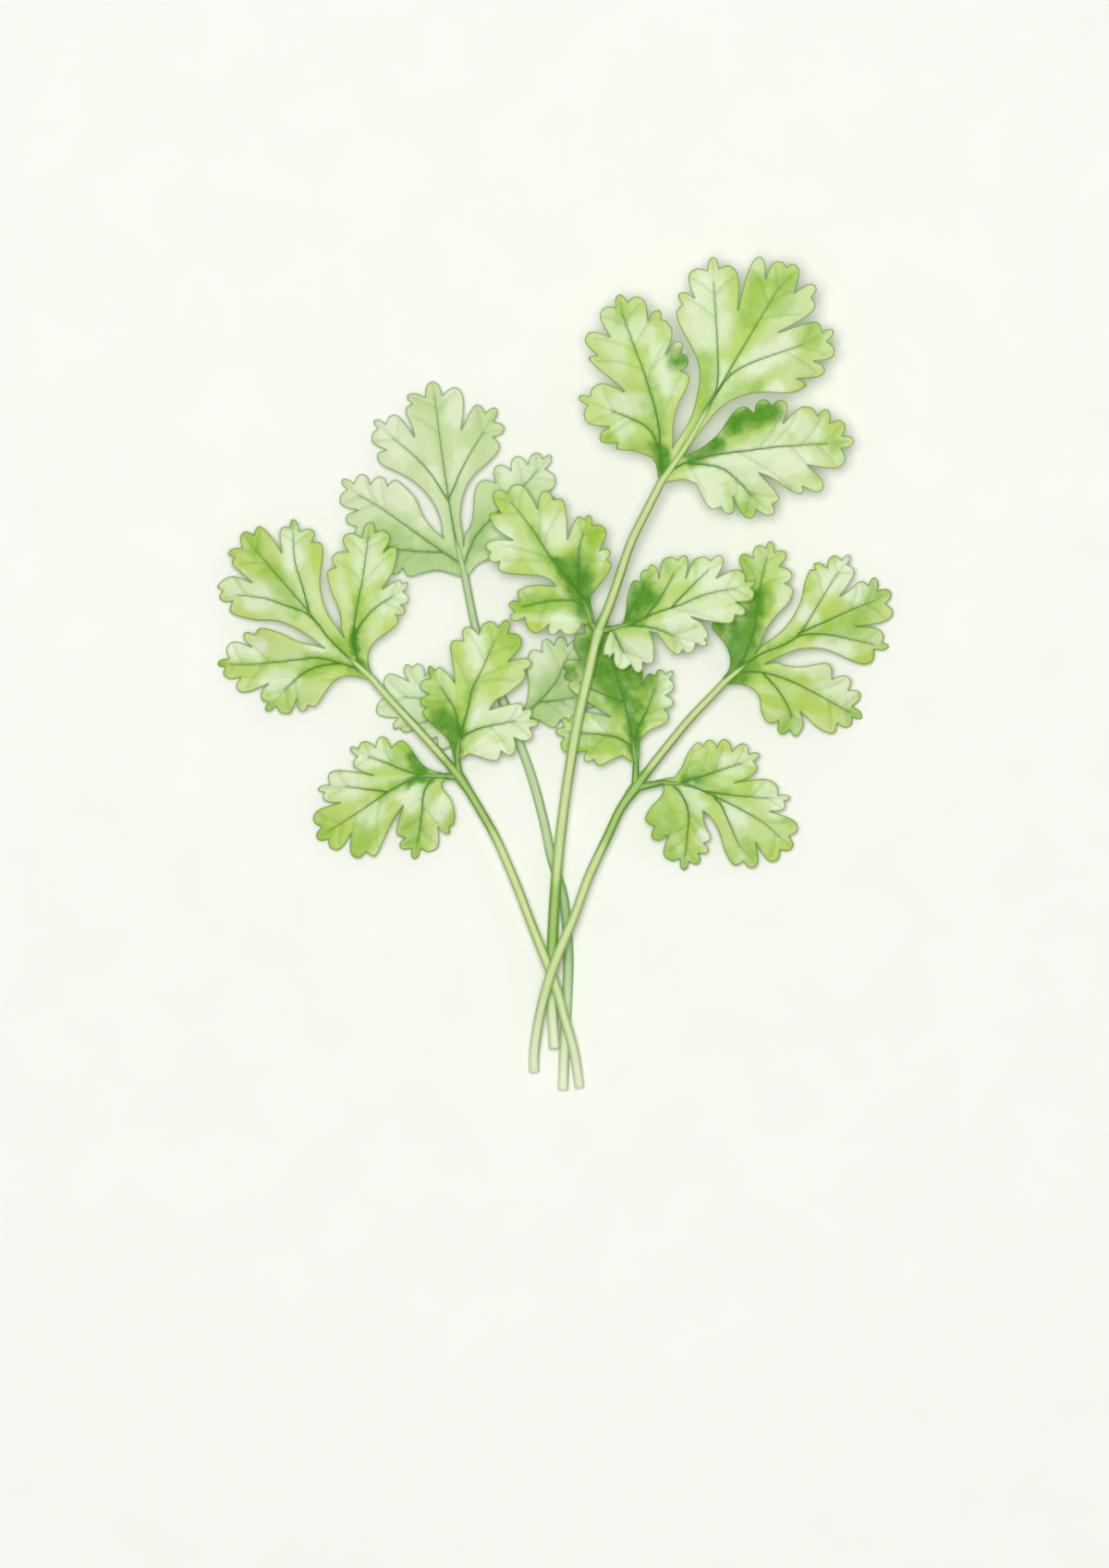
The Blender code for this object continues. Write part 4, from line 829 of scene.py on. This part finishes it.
def blade_tints(name, places, rim, to_rib, to_side):
    """The six numbers on each point of a blade that its finish reads."""
    plan = LEAVES[name]
    neck = Vector(plan["ribs"][0][0])
    size = max((p - neck).length for p in places)
    values = {"vein": [], "rim": rim, "deep": [], "green": [], "pale": [], "stroke": []}
    for p in places:
        way = p - neck
        rib_gap = to_rib(p)
        fading = 1.0 - VEIN_FADING * way.length / size
        main = falloff(rib_gap, RIB_LINE) * fading
        minor = falloff(to_side(p), SIDE_LINE) * SIDE_STRENGTH
        core = falloff(rib_gap, RIB_SHADE_WIDTH) * math.exp(-way.length / RIB_SHADE_REACH)
        values["vein"].append(max(main, minor))
        # Painted shade: how far the point lies inside the leaf's shaded spots.
        values["deep"].append(tint(p, plan["deep"]))
        values["green"].append(min(1.0, tint(p, plan["green"]) * GREEN_SHARE + core))
        values["pale"].append(min(1.0, tint(p, plan["pale"]) + plan["wash"]))
        bearing = math.atan2(way.y, way.x)
        spot = Vector((bearing * STROKES, way.length / STROKE_LENGTH, len(name)))
        values["stroke"].append(noise.noise(spot) + 0.5)
    return values


print("a vein line is", 2 * RIB_LINE, "mm across")

# %% [markdown]
# Now each flat blade gets its form. Every point is raised to the solid's height, which
# is smoothed to hide the solid's larger facets. It is pressed down where a vein runs,
# swells a little between the veins, and flutters at the edge. The same triangles, turned
# over, make the underside, where the veins stand out. A thickness added by a modifier
# would keep both sides alike.

# %% Build the blades
BLADE_THICKNESS = 0.3
THINNEST = 0.8
VEIN_SINK = 0.16
VEIN_SINK_WIDTH = 0.45
QUILT_RISE = 0.22
QUILT_WIDTH = 1.5
QUILT_EDGE = 1.2
UNDER_RIDGE = 0.14
UNDER_RIDGE_WIDTH = 0.3
FLUTTER_RISE = 0.35
FLUTTER_LENGTH = 3.2
FLUTTER_EDGE = 2.2
FLUTTER_SLICE = 7.0
SMOOTHING_PASSES = 24
SHARP_ANGLE = math.radians(60)


def smooth_heights(heights, triangles):
    """Evens out the heights over the blade, a little at a time."""
    near = [set() for _ in heights]
    for a, b, c in triangles:
        near[a].update((b, c))
        near[b].update((a, c))
        near[c].update((a, b))
    near = [list(group) for group in near]
    for _ in range(SMOOTHING_PASSES):
        heights = [(h + sum(heights[i] for i in group) / len(group)) / 2 if group else h
                   for h, group in zip(heights, near)]
    return heights


def store(mesh, label, column):
    """One number on each vertex, under a name that the finish reads."""
    layer = mesh.attributes.new(label, "FLOAT", "POINT")
    layer.data.foreach_set("value", column)


def blade(name, finish):
    """One thin toothed blade with its attributes."""
    solid = SOLIDS[name]
    ring = rounded(solid.ring)
    lines = RIBS[name] + VEINS[name]
    to_edge = finder_of([ring + ring[:1]])
    to_vein = finder_of(lines)
    to_rib = finder_of(RIBS[name])
    to_side = finder_of(VEINS[name])
    places, triangles = flat_blade(ring, lines, to_edge, to_vein)
    heights = smooth_heights([solid.height(p.x, p.y) for p in places], triangles)
    vein = [to_vein(p) for p in places]
    rim = [to_edge(p) for p in places]
    work = bmesh.new()
    tops = []
    lows = []
    for p, h, v, r in zip(places, heights, vein, rim):
        sink = VEIN_SINK * falloff(v, VEIN_SINK_WIDTH)
        quilt = QUILT_RISE * (1.0 - falloff(v, QUILT_WIDTH)) * min(1.0, r / QUILT_EDGE)
        wave = noise.noise(Vector((p.x, p.y, FLUTTER_SLICE)) / FLUTTER_LENGTH)
        flutter = FLUTTER_RISE * wave * falloff(r, FLUTTER_EDGE) * min(1.0, v)
        ridge = UNDER_RIDGE * falloff(v, UNDER_RIDGE_WIDTH)
        top = h + BLADE_THICKNESS / 2 - sink + quilt + flutter
        low = max(h - BLADE_THICKNESS / 2 - ridge + quilt + flutter, 0.0)
        top = max(top, low + BLADE_THICKNESS * THINNEST)
        tops.append(work.verts.new(to_frame((p.x, p.y, top))))
        lows.append(work.verts.new(to_frame((p.x, p.y, low))))
    sides = set()
    for a, b, c in triangles:
        work.faces.new((tops[a], tops[b], tops[c]))
        work.faces.new((lows[c], lows[b], lows[a]))
        sides.update(((a, b), (b, c), (c, a)))
    for a, b in sides:
        if (b, a) not in sides:
            work.faces.new((tops[a], lows[a], lows[b], tops[b]))
    mesh = bpy.data.meshes.new(name.replace("leaf", "blade"))
    work.to_mesh(mesh)
    work.free()
    for label, column in blade_tints(name, places, rim, to_rib, to_side).items():
        store(mesh, label, [value for value in column for _ in (0, 1)])
    mesh.materials.append(finish)
    mesh.shade_smooth()
    mesh.set_sharp_from_angle(angle=SHARP_ANGLE)
    made = bpy.data.objects.new(mesh.name, mesh)
    bpy.context.scene.collection.objects.link(made)
    return made


def is_behind(name):
    """Whether a solid belongs to the sprig at the back."""
    return "_back" in name


def dress(piece, node, slot):
    """Puts a finished piece in place of its solid."""
    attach(piece, "root")
    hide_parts(node)


BLADES = {}
for name in LEAVES:
    BLADES[name] = blade(name, BACK_LEAF if is_behind(name) else FRESH_LEAF)
    dress(BLADES[name], name, "leaf_back" if is_behind(name) else "leaf")
print("blade triangles", sum(len(b.data.polygons) for b in BLADES.values()))

# %% [markdown]
# Ribs and stalks are the same idea: a long thin form that follows a path and gets thinner along
# it. One Geometry Nodes tree makes both. It turns a line of vertices into a curve, sweeps a
# grooved ring along it, and scales the ring at each point by a stored girth. The number of
# grooves and their depth are inputs, so a rib can be smooth and a stalk grooved. The ring also
# stores how far out to the side each point lies, which the finish uses to paint shade on the
# flanks.

# %% The sweep tree
def sweep_tree():
    """The node tree that sweeps a ring along a line, with its sizes as inputs."""
    tree = bpy.data.node_groups.new("grooved_sweep", "GeometryNodeTree")
    face = tree.interface
    face.new_socket("Line", in_out="INPUT", socket_type="NodeSocketGeometry")
    for label, kind in (("Sides", "NodeSocketInt"), ("Grooves", "NodeSocketFloat"),
                        ("Groove Depth", "NodeSocketFloat"), ("Finish", "NodeSocketMaterial")):
        face.new_socket(label, in_out="INPUT", socket_type=kind)
    face.new_socket("Stem", in_out="OUTPUT", socket_type="NodeSocketGeometry")

    def node(kind, settings=None, **links):
        """A new node's outputs. _0 feeds its first input, _1 the next, and so on."""
        made = tree.nodes.new(kind)
        for name, setting in (settings or {}).items():
            setattr(made, name, setting)
        for name, value in links.items():
            target = made.inputs[int(name[1:])]
            if isinstance(value, bpy.types.NodeSocket):
                tree.links.new(value, target)
            else:
                target.default_value = value
        return made.outputs

    def maths(operation, **links):
        return node("ShaderNodeMath", {"operation": operation}, **links)[0]

    given = node("NodeGroupInput")
    ring = node("GeometryNodeCurvePrimitiveCircle", _0=given["Sides"], _4=1.0)["Curve"]
    place = node("GeometryNodeInputPosition")[0]
    parts = node("ShaderNodeSeparateXYZ", _0=place)
    angle = maths("ARCTAN2", _0=parts[1], _1=parts[0])
    wave = maths("COSINE", _0=maths("MULTIPLY", _0=angle, _1=given["Grooves"]))
    swell = maths("MULTIPLY_ADD", _0=wave, _1=given["Groove Depth"], _2=1.0)
    moved = node("ShaderNodeVectorMath", {"operation": "SCALE"}, _0=place, _3=swell)[0]
    grooved = node("GeometryNodeSetPosition", _0=ring, _2=moved)[0]
    across = maths("ABSOLUTE", _0=parts[0])
    stored = {"data_type": "FLOAT", "domain": "POINT"}
    marked = node("GeometryNodeStoreNamedAttribute", stored, _0=grooved, _2="flank",
                  _3=across)[0]
    line = node("GeometryNodeMeshToCurve", _0=given["Line"])[0]
    path = node("GeometryNodeSetCurveNormal", {"mode": "Z_UP"}, _0=line)[0]
    girth = node("GeometryNodeInputNamedAttribute", {"data_type": "FLOAT"}, _0="girth")[0]
    swept = node("GeometryNodeCurveToMesh", _0=path, _1=marked, _2=girth, _3=True)[0]
    whole = node("GeometryNodeRealizeInstances", _0=swept)[0]
    smooth = node("GeometryNodeSetShadeSmooth", _0=whole)[0]
    finish = node("GeometryNodeSetMaterial", _0=smooth, _2=given["Finish"])[0]
    node("NodeGroupOutput", _0=finish)
    return tree


SWEEP = sweep_tree()
print("sweep inputs", [item.name for item in SWEEP.interface.items_tree])

# %% [markdown]
# The tree needs a line of vertices that carries its attributes: the girth at each
# point, how far along it is from the cut end, how far it has faded to a vein, and how
# shaded it is. The result is kept as a plain mesh, because an exported model can't
# hold a modifier.

# %% Sweep one piece
def line_mesh(name, lines):
    """Vertices and edges of several lines, with their attributes."""
    mesh = bpy.data.meshes.new(name)
    points = []
    edges = []
    for line in lines:
        start = len(points)
        points.extend(point["place"] for point in line)
        edges.extend((start + i, start + i + 1) for i in range(len(line) - 1))
    mesh.from_pydata([to_frame(p) for p in points], edges, [])
    for label in ("girth", "along", "fade", "shade"):
        store(mesh, label, [point[label] for line in lines for point in line])
    return mesh


def sweep(name, lines, finish, sides, grooves, depth):
    """A plain mesh piece, swept along the lines."""
    holder = bpy.data.objects.new(name, line_mesh(name, lines))
    bpy.context.scene.collection.objects.link(holder)
    step = holder.modifiers.new("Sweep", "NODES")
    step.node_group = SWEEP
    sizes = {"Sides": sides, "Grooves": grooves, "Groove Depth": depth, "Finish": finish}
    for item in SWEEP.interface.items_tree:
        if item.name in sizes:
            step[item.identifier] = sizes[item.name]
    holder.update_tag()
    bpy.context.view_layer.update()
    seen = holder.evaluated_get(bpy.context.evaluated_depsgraph_get())
    mesh = bpy.data.meshes.new_from_object(seen)
    holder.modifiers.clear()
    bpy.data.objects.remove(holder)
    work = bmesh.new()
    work.from_mesh(mesh)
    bmesh.ops.recalc_face_normals(work, faces=work.faces)
    work.to_mesh(mesh)
    work.free()
    mesh.name = name
    made = bpy.data.objects.new(name, mesh)
    bpy.context.scene.collection.objects.link(made)
    return made


# %% [markdown]
# On the blade the ribs stand a little proud. Each is a fine dark line that thins towards
# its tip. A painted line would vanish when the leaf is seen from the side, so the ribs
# are swept forms, half sunk in the blade, and their height is read from the finished
# blade. The first rib starts where the stalk's own reach along it ends.

# %% Raise the ribs
RIB_START = 0.24
RIB_END = 0.05
SIDE_RIB_START = 0.21
RIB_SIDES = 10
RIB_SINK = 0.35
RIB_SHADE = 0.2
NECK_REACH = 4.0
LOOK_DOWN_FROM = 60.0
RIB_FADE = 0.95
SIDE_FADE = 0.6
FADE_REACH = 3.0
RIB_ALONG = 60.0


def blade_top(piece):
    """A function for the height of the blade's upper side, in plan millimetres."""
    mesh = piece.data
    finder = BVHTree.FromPolygons([v.co for v in mesh.vertices],
                                  [tuple(f.vertices) for f in mesh.polygons])

    def height(point):
        above = to_frame((point.x, point.y, LOOK_DOWN_FROM))
        hit = finder.ray_cast(above, Vector((0.0, 0.0, -1.0)))[0]
        if hit is None:
            hit = finder.find_nearest(above)[0]
        return to_plan(hit).z

    return height


def rib_lines(name):
    """The raised ribs of one leaf, from the neck or a fork to their tips."""
    top = TOPS[name]
    neck = Vector(LEAVES[name]["ribs"][0][0])
    lines = []
    for rib in RIBS[name]:
        leads = rib is RIBS[name][0]
        at_neck = (rib[0] - neck).length < NECK_REACH
        start = RIB_START if leads else SIDE_RIB_START
        length = max(gone for gone, _ in paced(rib))
        line = []
        for gone, point in paced(rib):
            if leads and gone < LEAVES[name]["stem_reach"]:
                continue
            thick = start + (RIB_END - start) * gone / length
            fade = min(1.0, SIDE_FADE + gone / FADE_REACH) if at_neck and not leads else 1.0
            place = Vector((point.x, point.y, top(point) - thick * RIB_SINK))
            line.append({"place": place, "girth": thick * MM, "along": RIB_ALONG,
                         "fade": fade * RIB_FADE, "shade": RIB_SHADE})
        lines.append(line)
    return lines


TOPS = {name: blade_top(piece) for name, piece in BLADES.items()}
rib_faces = 0
for name in LEAVES:
    finish = BACK_STALK if is_behind(name) else FRESH_STALK
    piece = sweep(name.replace("leaf", "ribs"), rib_lines(name), finish, RIB_SIDES, 0.0, 0.0)
    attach(piece, "root")
    rib_faces += len(piece.data.polygons)
print("rib faces", rib_faces)

# %% [markdown]
# A stalk runs from its cut end, over or under its neighbours, to its end leaf, and two short
# side stalks leave it at the node. A straight rod would miss the gentle sway that makes a cut
# sprig look alive, so each stalk follows the same points (x, y, height) as in the part's
# source. The radii are those at the cut end, the node and the neck, and the node is a place in
# the line. A stretch between two places up the plan gets the fullest green. On the centre and
# back stalks it lies where other stalks cross over them, so there it is painted shade. On the
# left and right stalks it lies by the node and is the stalk's own greener tone.

# %% Stalk routes
STALKS = {}
STALKS["stalk_left"] = dict(
    radii=(1.15, 1, 0.88), node=10, fresh=(-31, -23),
    line=[(5.4, -89.4, 1.5), (4.2, -81.4, 3), (2.2, -74.6, 4.5), (0.4, -67.8, 4.9),
          (-2, -61.6, 4.9), (-5.2, -53.6, 4.8), (-8, -46.2, 4.7), (-12, -36.8, 4.7),
          (-13.4, -34, 4.8), (-17.4, -27.2, 5), (-20.6, -22.2, 5.2), (-25.2, -16.8, 5.6),
          (-30.6, -10.8, 6), (-36, -5, 6.4), (-39.6, -0.8, 6.6)],
    side_ends=[(-21.1, -18.4, 5.4), (-23.6, -22, 5.2)],
    leaves=["leaf_left_top", "leaf_left_inner", "leaf_left_outer"])
STALKS["stalk_back"] = dict(
    radii=(1.25, 1.05, 0.9), node=11, fresh=(-60, -44),
    line=[(1.8, -90, 1.1), (2, -83.6, 1.1), (2.4, -75.6, 1.1), (2.8, -67.8, 1.1), (3, -60, 1.1),
          (2.4, -52, 1.1), (1.8, -47.4, 1.1), (-0.8, -39.4, 1.1), (-2, -33.2, 1.1),
          (-4.6, -23.2, 1.2), (-7.6, -14.8, 1.4), (-10.2, -8.2, 1.8), (-13.4, 0, 2.2),
          (-16.6, 8, 2.6), (-18, 14, 2.9), (-19.4, 21.2, 3.1)],
    side_ends=[(-12.6, -8.8, 2.2), (-7.2, -9, 2.2)],
    leaves=["leaf_back_top", "leaf_back_left", "leaf_back_right"])
STALKS["stalk_centre"] = dict(
    radii=(1.3, 1.15, 0.95), node=11, fresh=(-67, -48),
    line=[(0, -81, 3.1), (-0.6, -72, 2.1), (-0.8, -66, 2), (-0.6, -60, 2.4), (-0.2, -52, 3.4),
          (0.4, -43.6, 4.3), (1.2, -35.2, 5), (2.4, -25.8, 5.8), (3.8, -16.8, 6.8),
          (5, -10, 7.6), (7.6, 1.4, 9), (9.4, 9.2, 10), (11.4, 13.8, 10.6), (13.8, 20.6, 11.6),
          (16.4, 28.4, 12.6), (20, 35.6, 13.4), (23.1, 41.7, 14)],
    side_ends=[(7.8, 11.2, 10.2), (12, 9.8, 10.2)],
    leaves=["leaf_centre_top", "leaf_centre_left", "leaf_centre_right"])
STALKS["stalk_right"] = dict(
    radii=(1.2, 1.05, 0.88), node=9, fresh=(-34, -26),
    line=[(-4.4, -86, 1.6), (-4.6, -83, 2.4), (-3.4, -74.6, 4.8), (-1.2, -65.8, 7.7),
          (1.6, -58.4, 7.6), (4.4, -52, 7), (7.4, -43.6, 6.4), (11.6, -34.8, 6),
          (14.2, -29, 5.8), (17.4, -24.6, 5.7), (20.8, -20, 5.8), (24.8, -15, 6),
          (29, -9.8, 6.3), (33.8, -4.8, 6.6), (36.6, -1.8, 6.7)],
    side_ends=[(17.6, -19.2, 5.8), (23.2, -23.3, 5.9)],
    leaves=["leaf_right_top", "leaf_right_inner", "leaf_right_outer"])
print("stalks", {name: len(stalk["line"]) for name, stalk in STALKS.items()})

# %% [markdown]
# A coriander stem has fine grooves along it, swells at the node, and is cut square with
# a soft edge. It doesn't stop where the leaf starts: it thins along the first rib until
# it is the rib. A girth stored at each point of the route says all of this, so one sweep
# makes the whole stalk. Its bends are eased, because a growing stem has no corners.

# %% Sweep the stalks
STALK_STEP = 0.9
STEM_THINNING = 0.25
LEAD_SHADE = 0.6
END_BEVEL = 0.12
END_BEVEL_PLACE = 0.2
NODE_SWELL = 0.28
NODE_REACH = 2.2
SIDE_RADIUS = 0.66
SIDE_ROOT_RADIUS = 0.85
SLIMNESS = 0.93
EASING_PASSES = 10
GROOVES = 7.0
GROOVE_DEPTH = 0.045
STALK_SIDES = 28
BASE_SHADE = 0.1
HIGH_SHADE = 0.35
NODE_SHADE = 0.45
STRETCH_GREEN_AND_SHADE = 0.9
SHADE_REACH = 5.0


def lead_in(name, radius, start_fade):
    """The stalk's last reach along a leaf's first rib, down to the rib's own girth."""
    top = TOPS[name]
    stem = LEAVES[name]["stem_reach"]
    line = []
    for gone, point in list(paced(RIBS[name][0]))[1:]:
        held = min(1.0, max(0.0, 1.0 - (gone - stem) / FADE_REACH))
        thin = STEM_THINNING * min(1.0, gone / max(stem, FADE_REACH))
        thick = RIB_START + (radius * (1.0 - thin) - RIB_START) * held
        place = Vector((point.x, point.y, top(point) - thick * RIB_SINK))
        line.append({"place": place, "girth": thick * MM, "along": RIB_ALONG,
                     "fade": (start_fade + (1.0 - start_fade) * (1.0 - held)) * RIB_FADE,
                     "shade": LEAD_SHADE})
        if held == 0.0:
            break
    return line


def eased(route):
    """The route with its bends softened and its ends kept."""
    for _ in range(EASING_PASSES):
        inner = [(a + 2 * b + c) / 4 for a, b, c in zip(route, route[1:], route[2:])]
        route = [route[0]] + inner + [route[-1]]
    return route


def main_line(plan):
    """The main stalk's points, with girth and tint."""
    route = eased(smooth_line(plan["line"], STALK_STEP))
    node_place = Vector(plan["line"][plan["node"]])
    low, middle, high = plan["radii"]
    node_at = min(range(len(route)), key=lambda i: (route[i] - node_place).length)
    line = []
    for i, (gone, point) in enumerate(paced(route)):
        if i <= node_at:
            radius = low + (middle - low) * i / node_at
        else:
            radius = middle + (high - middle) * (i - node_at) / (len(route) - 1 - node_at)
        radius *= SLIMNESS
        away = (point - node_place).length
        radius *= 1.0 + NODE_SWELL * falloff(away, NODE_REACH)
        lift = max(0.0, radius * (1.0 + GROOVE_DEPTH) - point.z)
        place = point + Vector((0.0, 0.0, lift))
        # The listed stretch gets a fuller green: painted shade where other stalks cross over
        # it, and the stalk's own tone by the node.
        low_fresh, high_fresh = plan["fresh"]
        outside = max(0.0, low_fresh - point.y, point.y - high_fresh)
        shade = BASE_SHADE if i <= node_at else HIGH_SHADE
        shade += NODE_SHADE * falloff(away, SHADE_REACH)
        shade += STRETCH_GREEN_AND_SHADE * falloff(outside, SHADE_REACH)
        line.append({"place": place, "girth": radius * MM, "along": gone, "fade": 0.0,
                     "shade": min(shade, 1.0)})
    first = dict(line[0])
    first["girth"] *= 1.0 - END_BEVEL
    line[0]["place"] = line[0]["place"].lerp(line[1]["place"], END_BEVEL_PLACE)
    return [first] + line + lead_in(plan["leaves"][0], high * SLIMNESS, 0.0)


def side_lines(plan):
    """The two side stalks, from inside the node to their leaves."""
    node_place = Vector(plan["line"][plan["node"]])
    lines = []
    for end, leaf in zip(plan["side_ends"], plan["leaves"][1:]):
        route = smooth_line([node_place, end], STALK_STEP)
        line = []
        for i, point in enumerate(route):
            part = i / (len(route) - 1)
            radius = SIDE_ROOT_RADIUS + (SIDE_RADIUS - SIDE_ROOT_RADIUS) * part
            line.append({"place": point, "girth": radius * MM, "along": RIB_ALONG,
                         "fade": SIDE_FADE * part * RIB_FADE, "shade": 1.0})
        lines.append(line + lead_in(leaf, SIDE_RADIUS, SIDE_FADE))
    return lines


for name, plan in STALKS.items():
    finish = BACK_STALK if is_behind(name) else FRESH_STALK
    lines = [main_line(plan)] + side_lines(plan)
    piece = sweep(name.replace("stalk", "stem"), lines, finish, STALK_SIDES, GROOVES,
                  GROOVE_DEPTH)
    dress(piece, name, "stalk")
    print(piece.name, "faces", len(piece.data.polygons))

# %% [markdown]
# The bunch lies on a plain pale table, warm white and matt, with a grain so faint that it only
# keeps the white from looking flat. The table isn't part of the bunch.

# %% Table
TABLE_SIDE = 3.0
TABLE_DROP = 0.0001
TABLE_PALE = (0.92, 0.925, 0.88, 1.0)
TABLE_DARKER = (0.90, 0.905, 0.86, 1.0)
TABLE_ROUGHNESS = 0.9
GRAIN_SCALE = 60.0
GRAIN_DETAIL = 4.0
GRAIN_BAND = (0.3, 0.7)

table_sheet = Sheet("pale_table")
grain = table_sheet.clouds(GRAIN_SCALE, GRAIN_DETAIL).band(*GRAIN_BAND)
tone = table_sheet.mix(grain, TABLE_DARKER, TABLE_PALE)
table_sheet.finish(Base_Color=tone, Roughness=TABLE_ROUGHNESS)
bpy.ops.mesh.primitive_plane_add(size=TABLE_SIDE, location=(0.0, 0.0, -TABLE_DROP))
table = bpy.context.active_object
table.name = "table"
table.data.transform(table.matrix_world)
table.matrix_world.identity()
table.data.materials.append(table_sheet.material)
print("table side in metres", TABLE_SIDE)

# %% [markdown]
# Daylight from one low window would throw long shadows across the leaves. Instead one
# large light hangs nearly above the bunch, so shadows stay close under the leaves, and a
# weak one from the side gives the relief some shape. A pale room fills the rest.

# %% Light
OVERHEAD_PLACE = (-0.05, 0.07, 1.6)
OVERHEAD_SIZE = 0.5
OVERHEAD_POWER = 19.0
OVERHEAD_COLOUR = (1.0, 0.995, 0.98)
WINDOW_PLACE = (0.9, 0.9, 1.1)
WINDOW_SIZE = 1.0
WINDOW_POWER = 1.6
WINDOW_COLOUR = (0.98, 0.99, 1.0)
ROOM_COLOUR = (1.0, 1.0, 0.98, 1.0)
ROOM_LIGHT = 0.3


def soft_light(name, place, size, power, colour):
    """A large square light that faces the bunch."""
    data = bpy.data.lights.new(name, "AREA")
    data.size = size
    data.energy = power
    data.color = colour
    light = bpy.data.objects.new(name, data)
    light.location = place
    light.rotation_euler = (-Vector(place)).to_track_quat("-Z", "Y").to_euler()
    bpy.context.scene.collection.objects.link(light)


soft_light("overhead", OVERHEAD_PLACE, OVERHEAD_SIZE, OVERHEAD_POWER, OVERHEAD_COLOUR)
soft_light("window", WINDOW_PLACE, WINDOW_SIZE, WINDOW_POWER, WINDOW_COLOUR)
world = bpy.data.worlds.new("soft_room")
world.use_nodes = True
room = world.node_tree.nodes["Background"]
room.inputs["Color"].default_value = ROOM_COLOUR
room.inputs["Strength"].default_value = ROOM_LIGHT
bpy.context.scene.world = world
bpy.context.scene.view_settings.view_transform = "Standard"
print("light in watts", OVERHEAD_POWER + WINDOW_POWER)

# %% [markdown]
# The camera looks straight down, because a cut bunch lies flat. Its lens is long and it
# hangs far off, so that high leaves aren't drawn larger than low ones. The photo's frame
# is 1200 by 1697 pixels at 0.2 mm a pixel.

# %% Camera
PIXEL = 0.2
FRAME_PIXELS = (1200, 1697)
VIEW_CENTRE = Vector((-0.1, -23.9, 0.0))
LENS = 400.0
SENSOR = 36.0
CAMERA_REACH = 20.0
BUNCH_MIDDLE = 6.0

camera_data = bpy.data.cameras.new("camera")
camera_data.lens = LENS
camera_data.sensor_width = SENSOR
camera_data.clip_end = CAMERA_REACH
camera = bpy.data.objects.new("camera", camera_data)
distance = FRAME_PIXELS[1] * PIXEL * LENS / SENSOR
camera.location = (VIEW_CENTRE + Vector((0.0, 0.0, distance + BUNCH_MIDDLE))) * MM
bpy.context.scene.collection.objects.link(camera)
bpy.context.scene.camera = camera
print("camera height in metres", round(camera.location.z, 3))
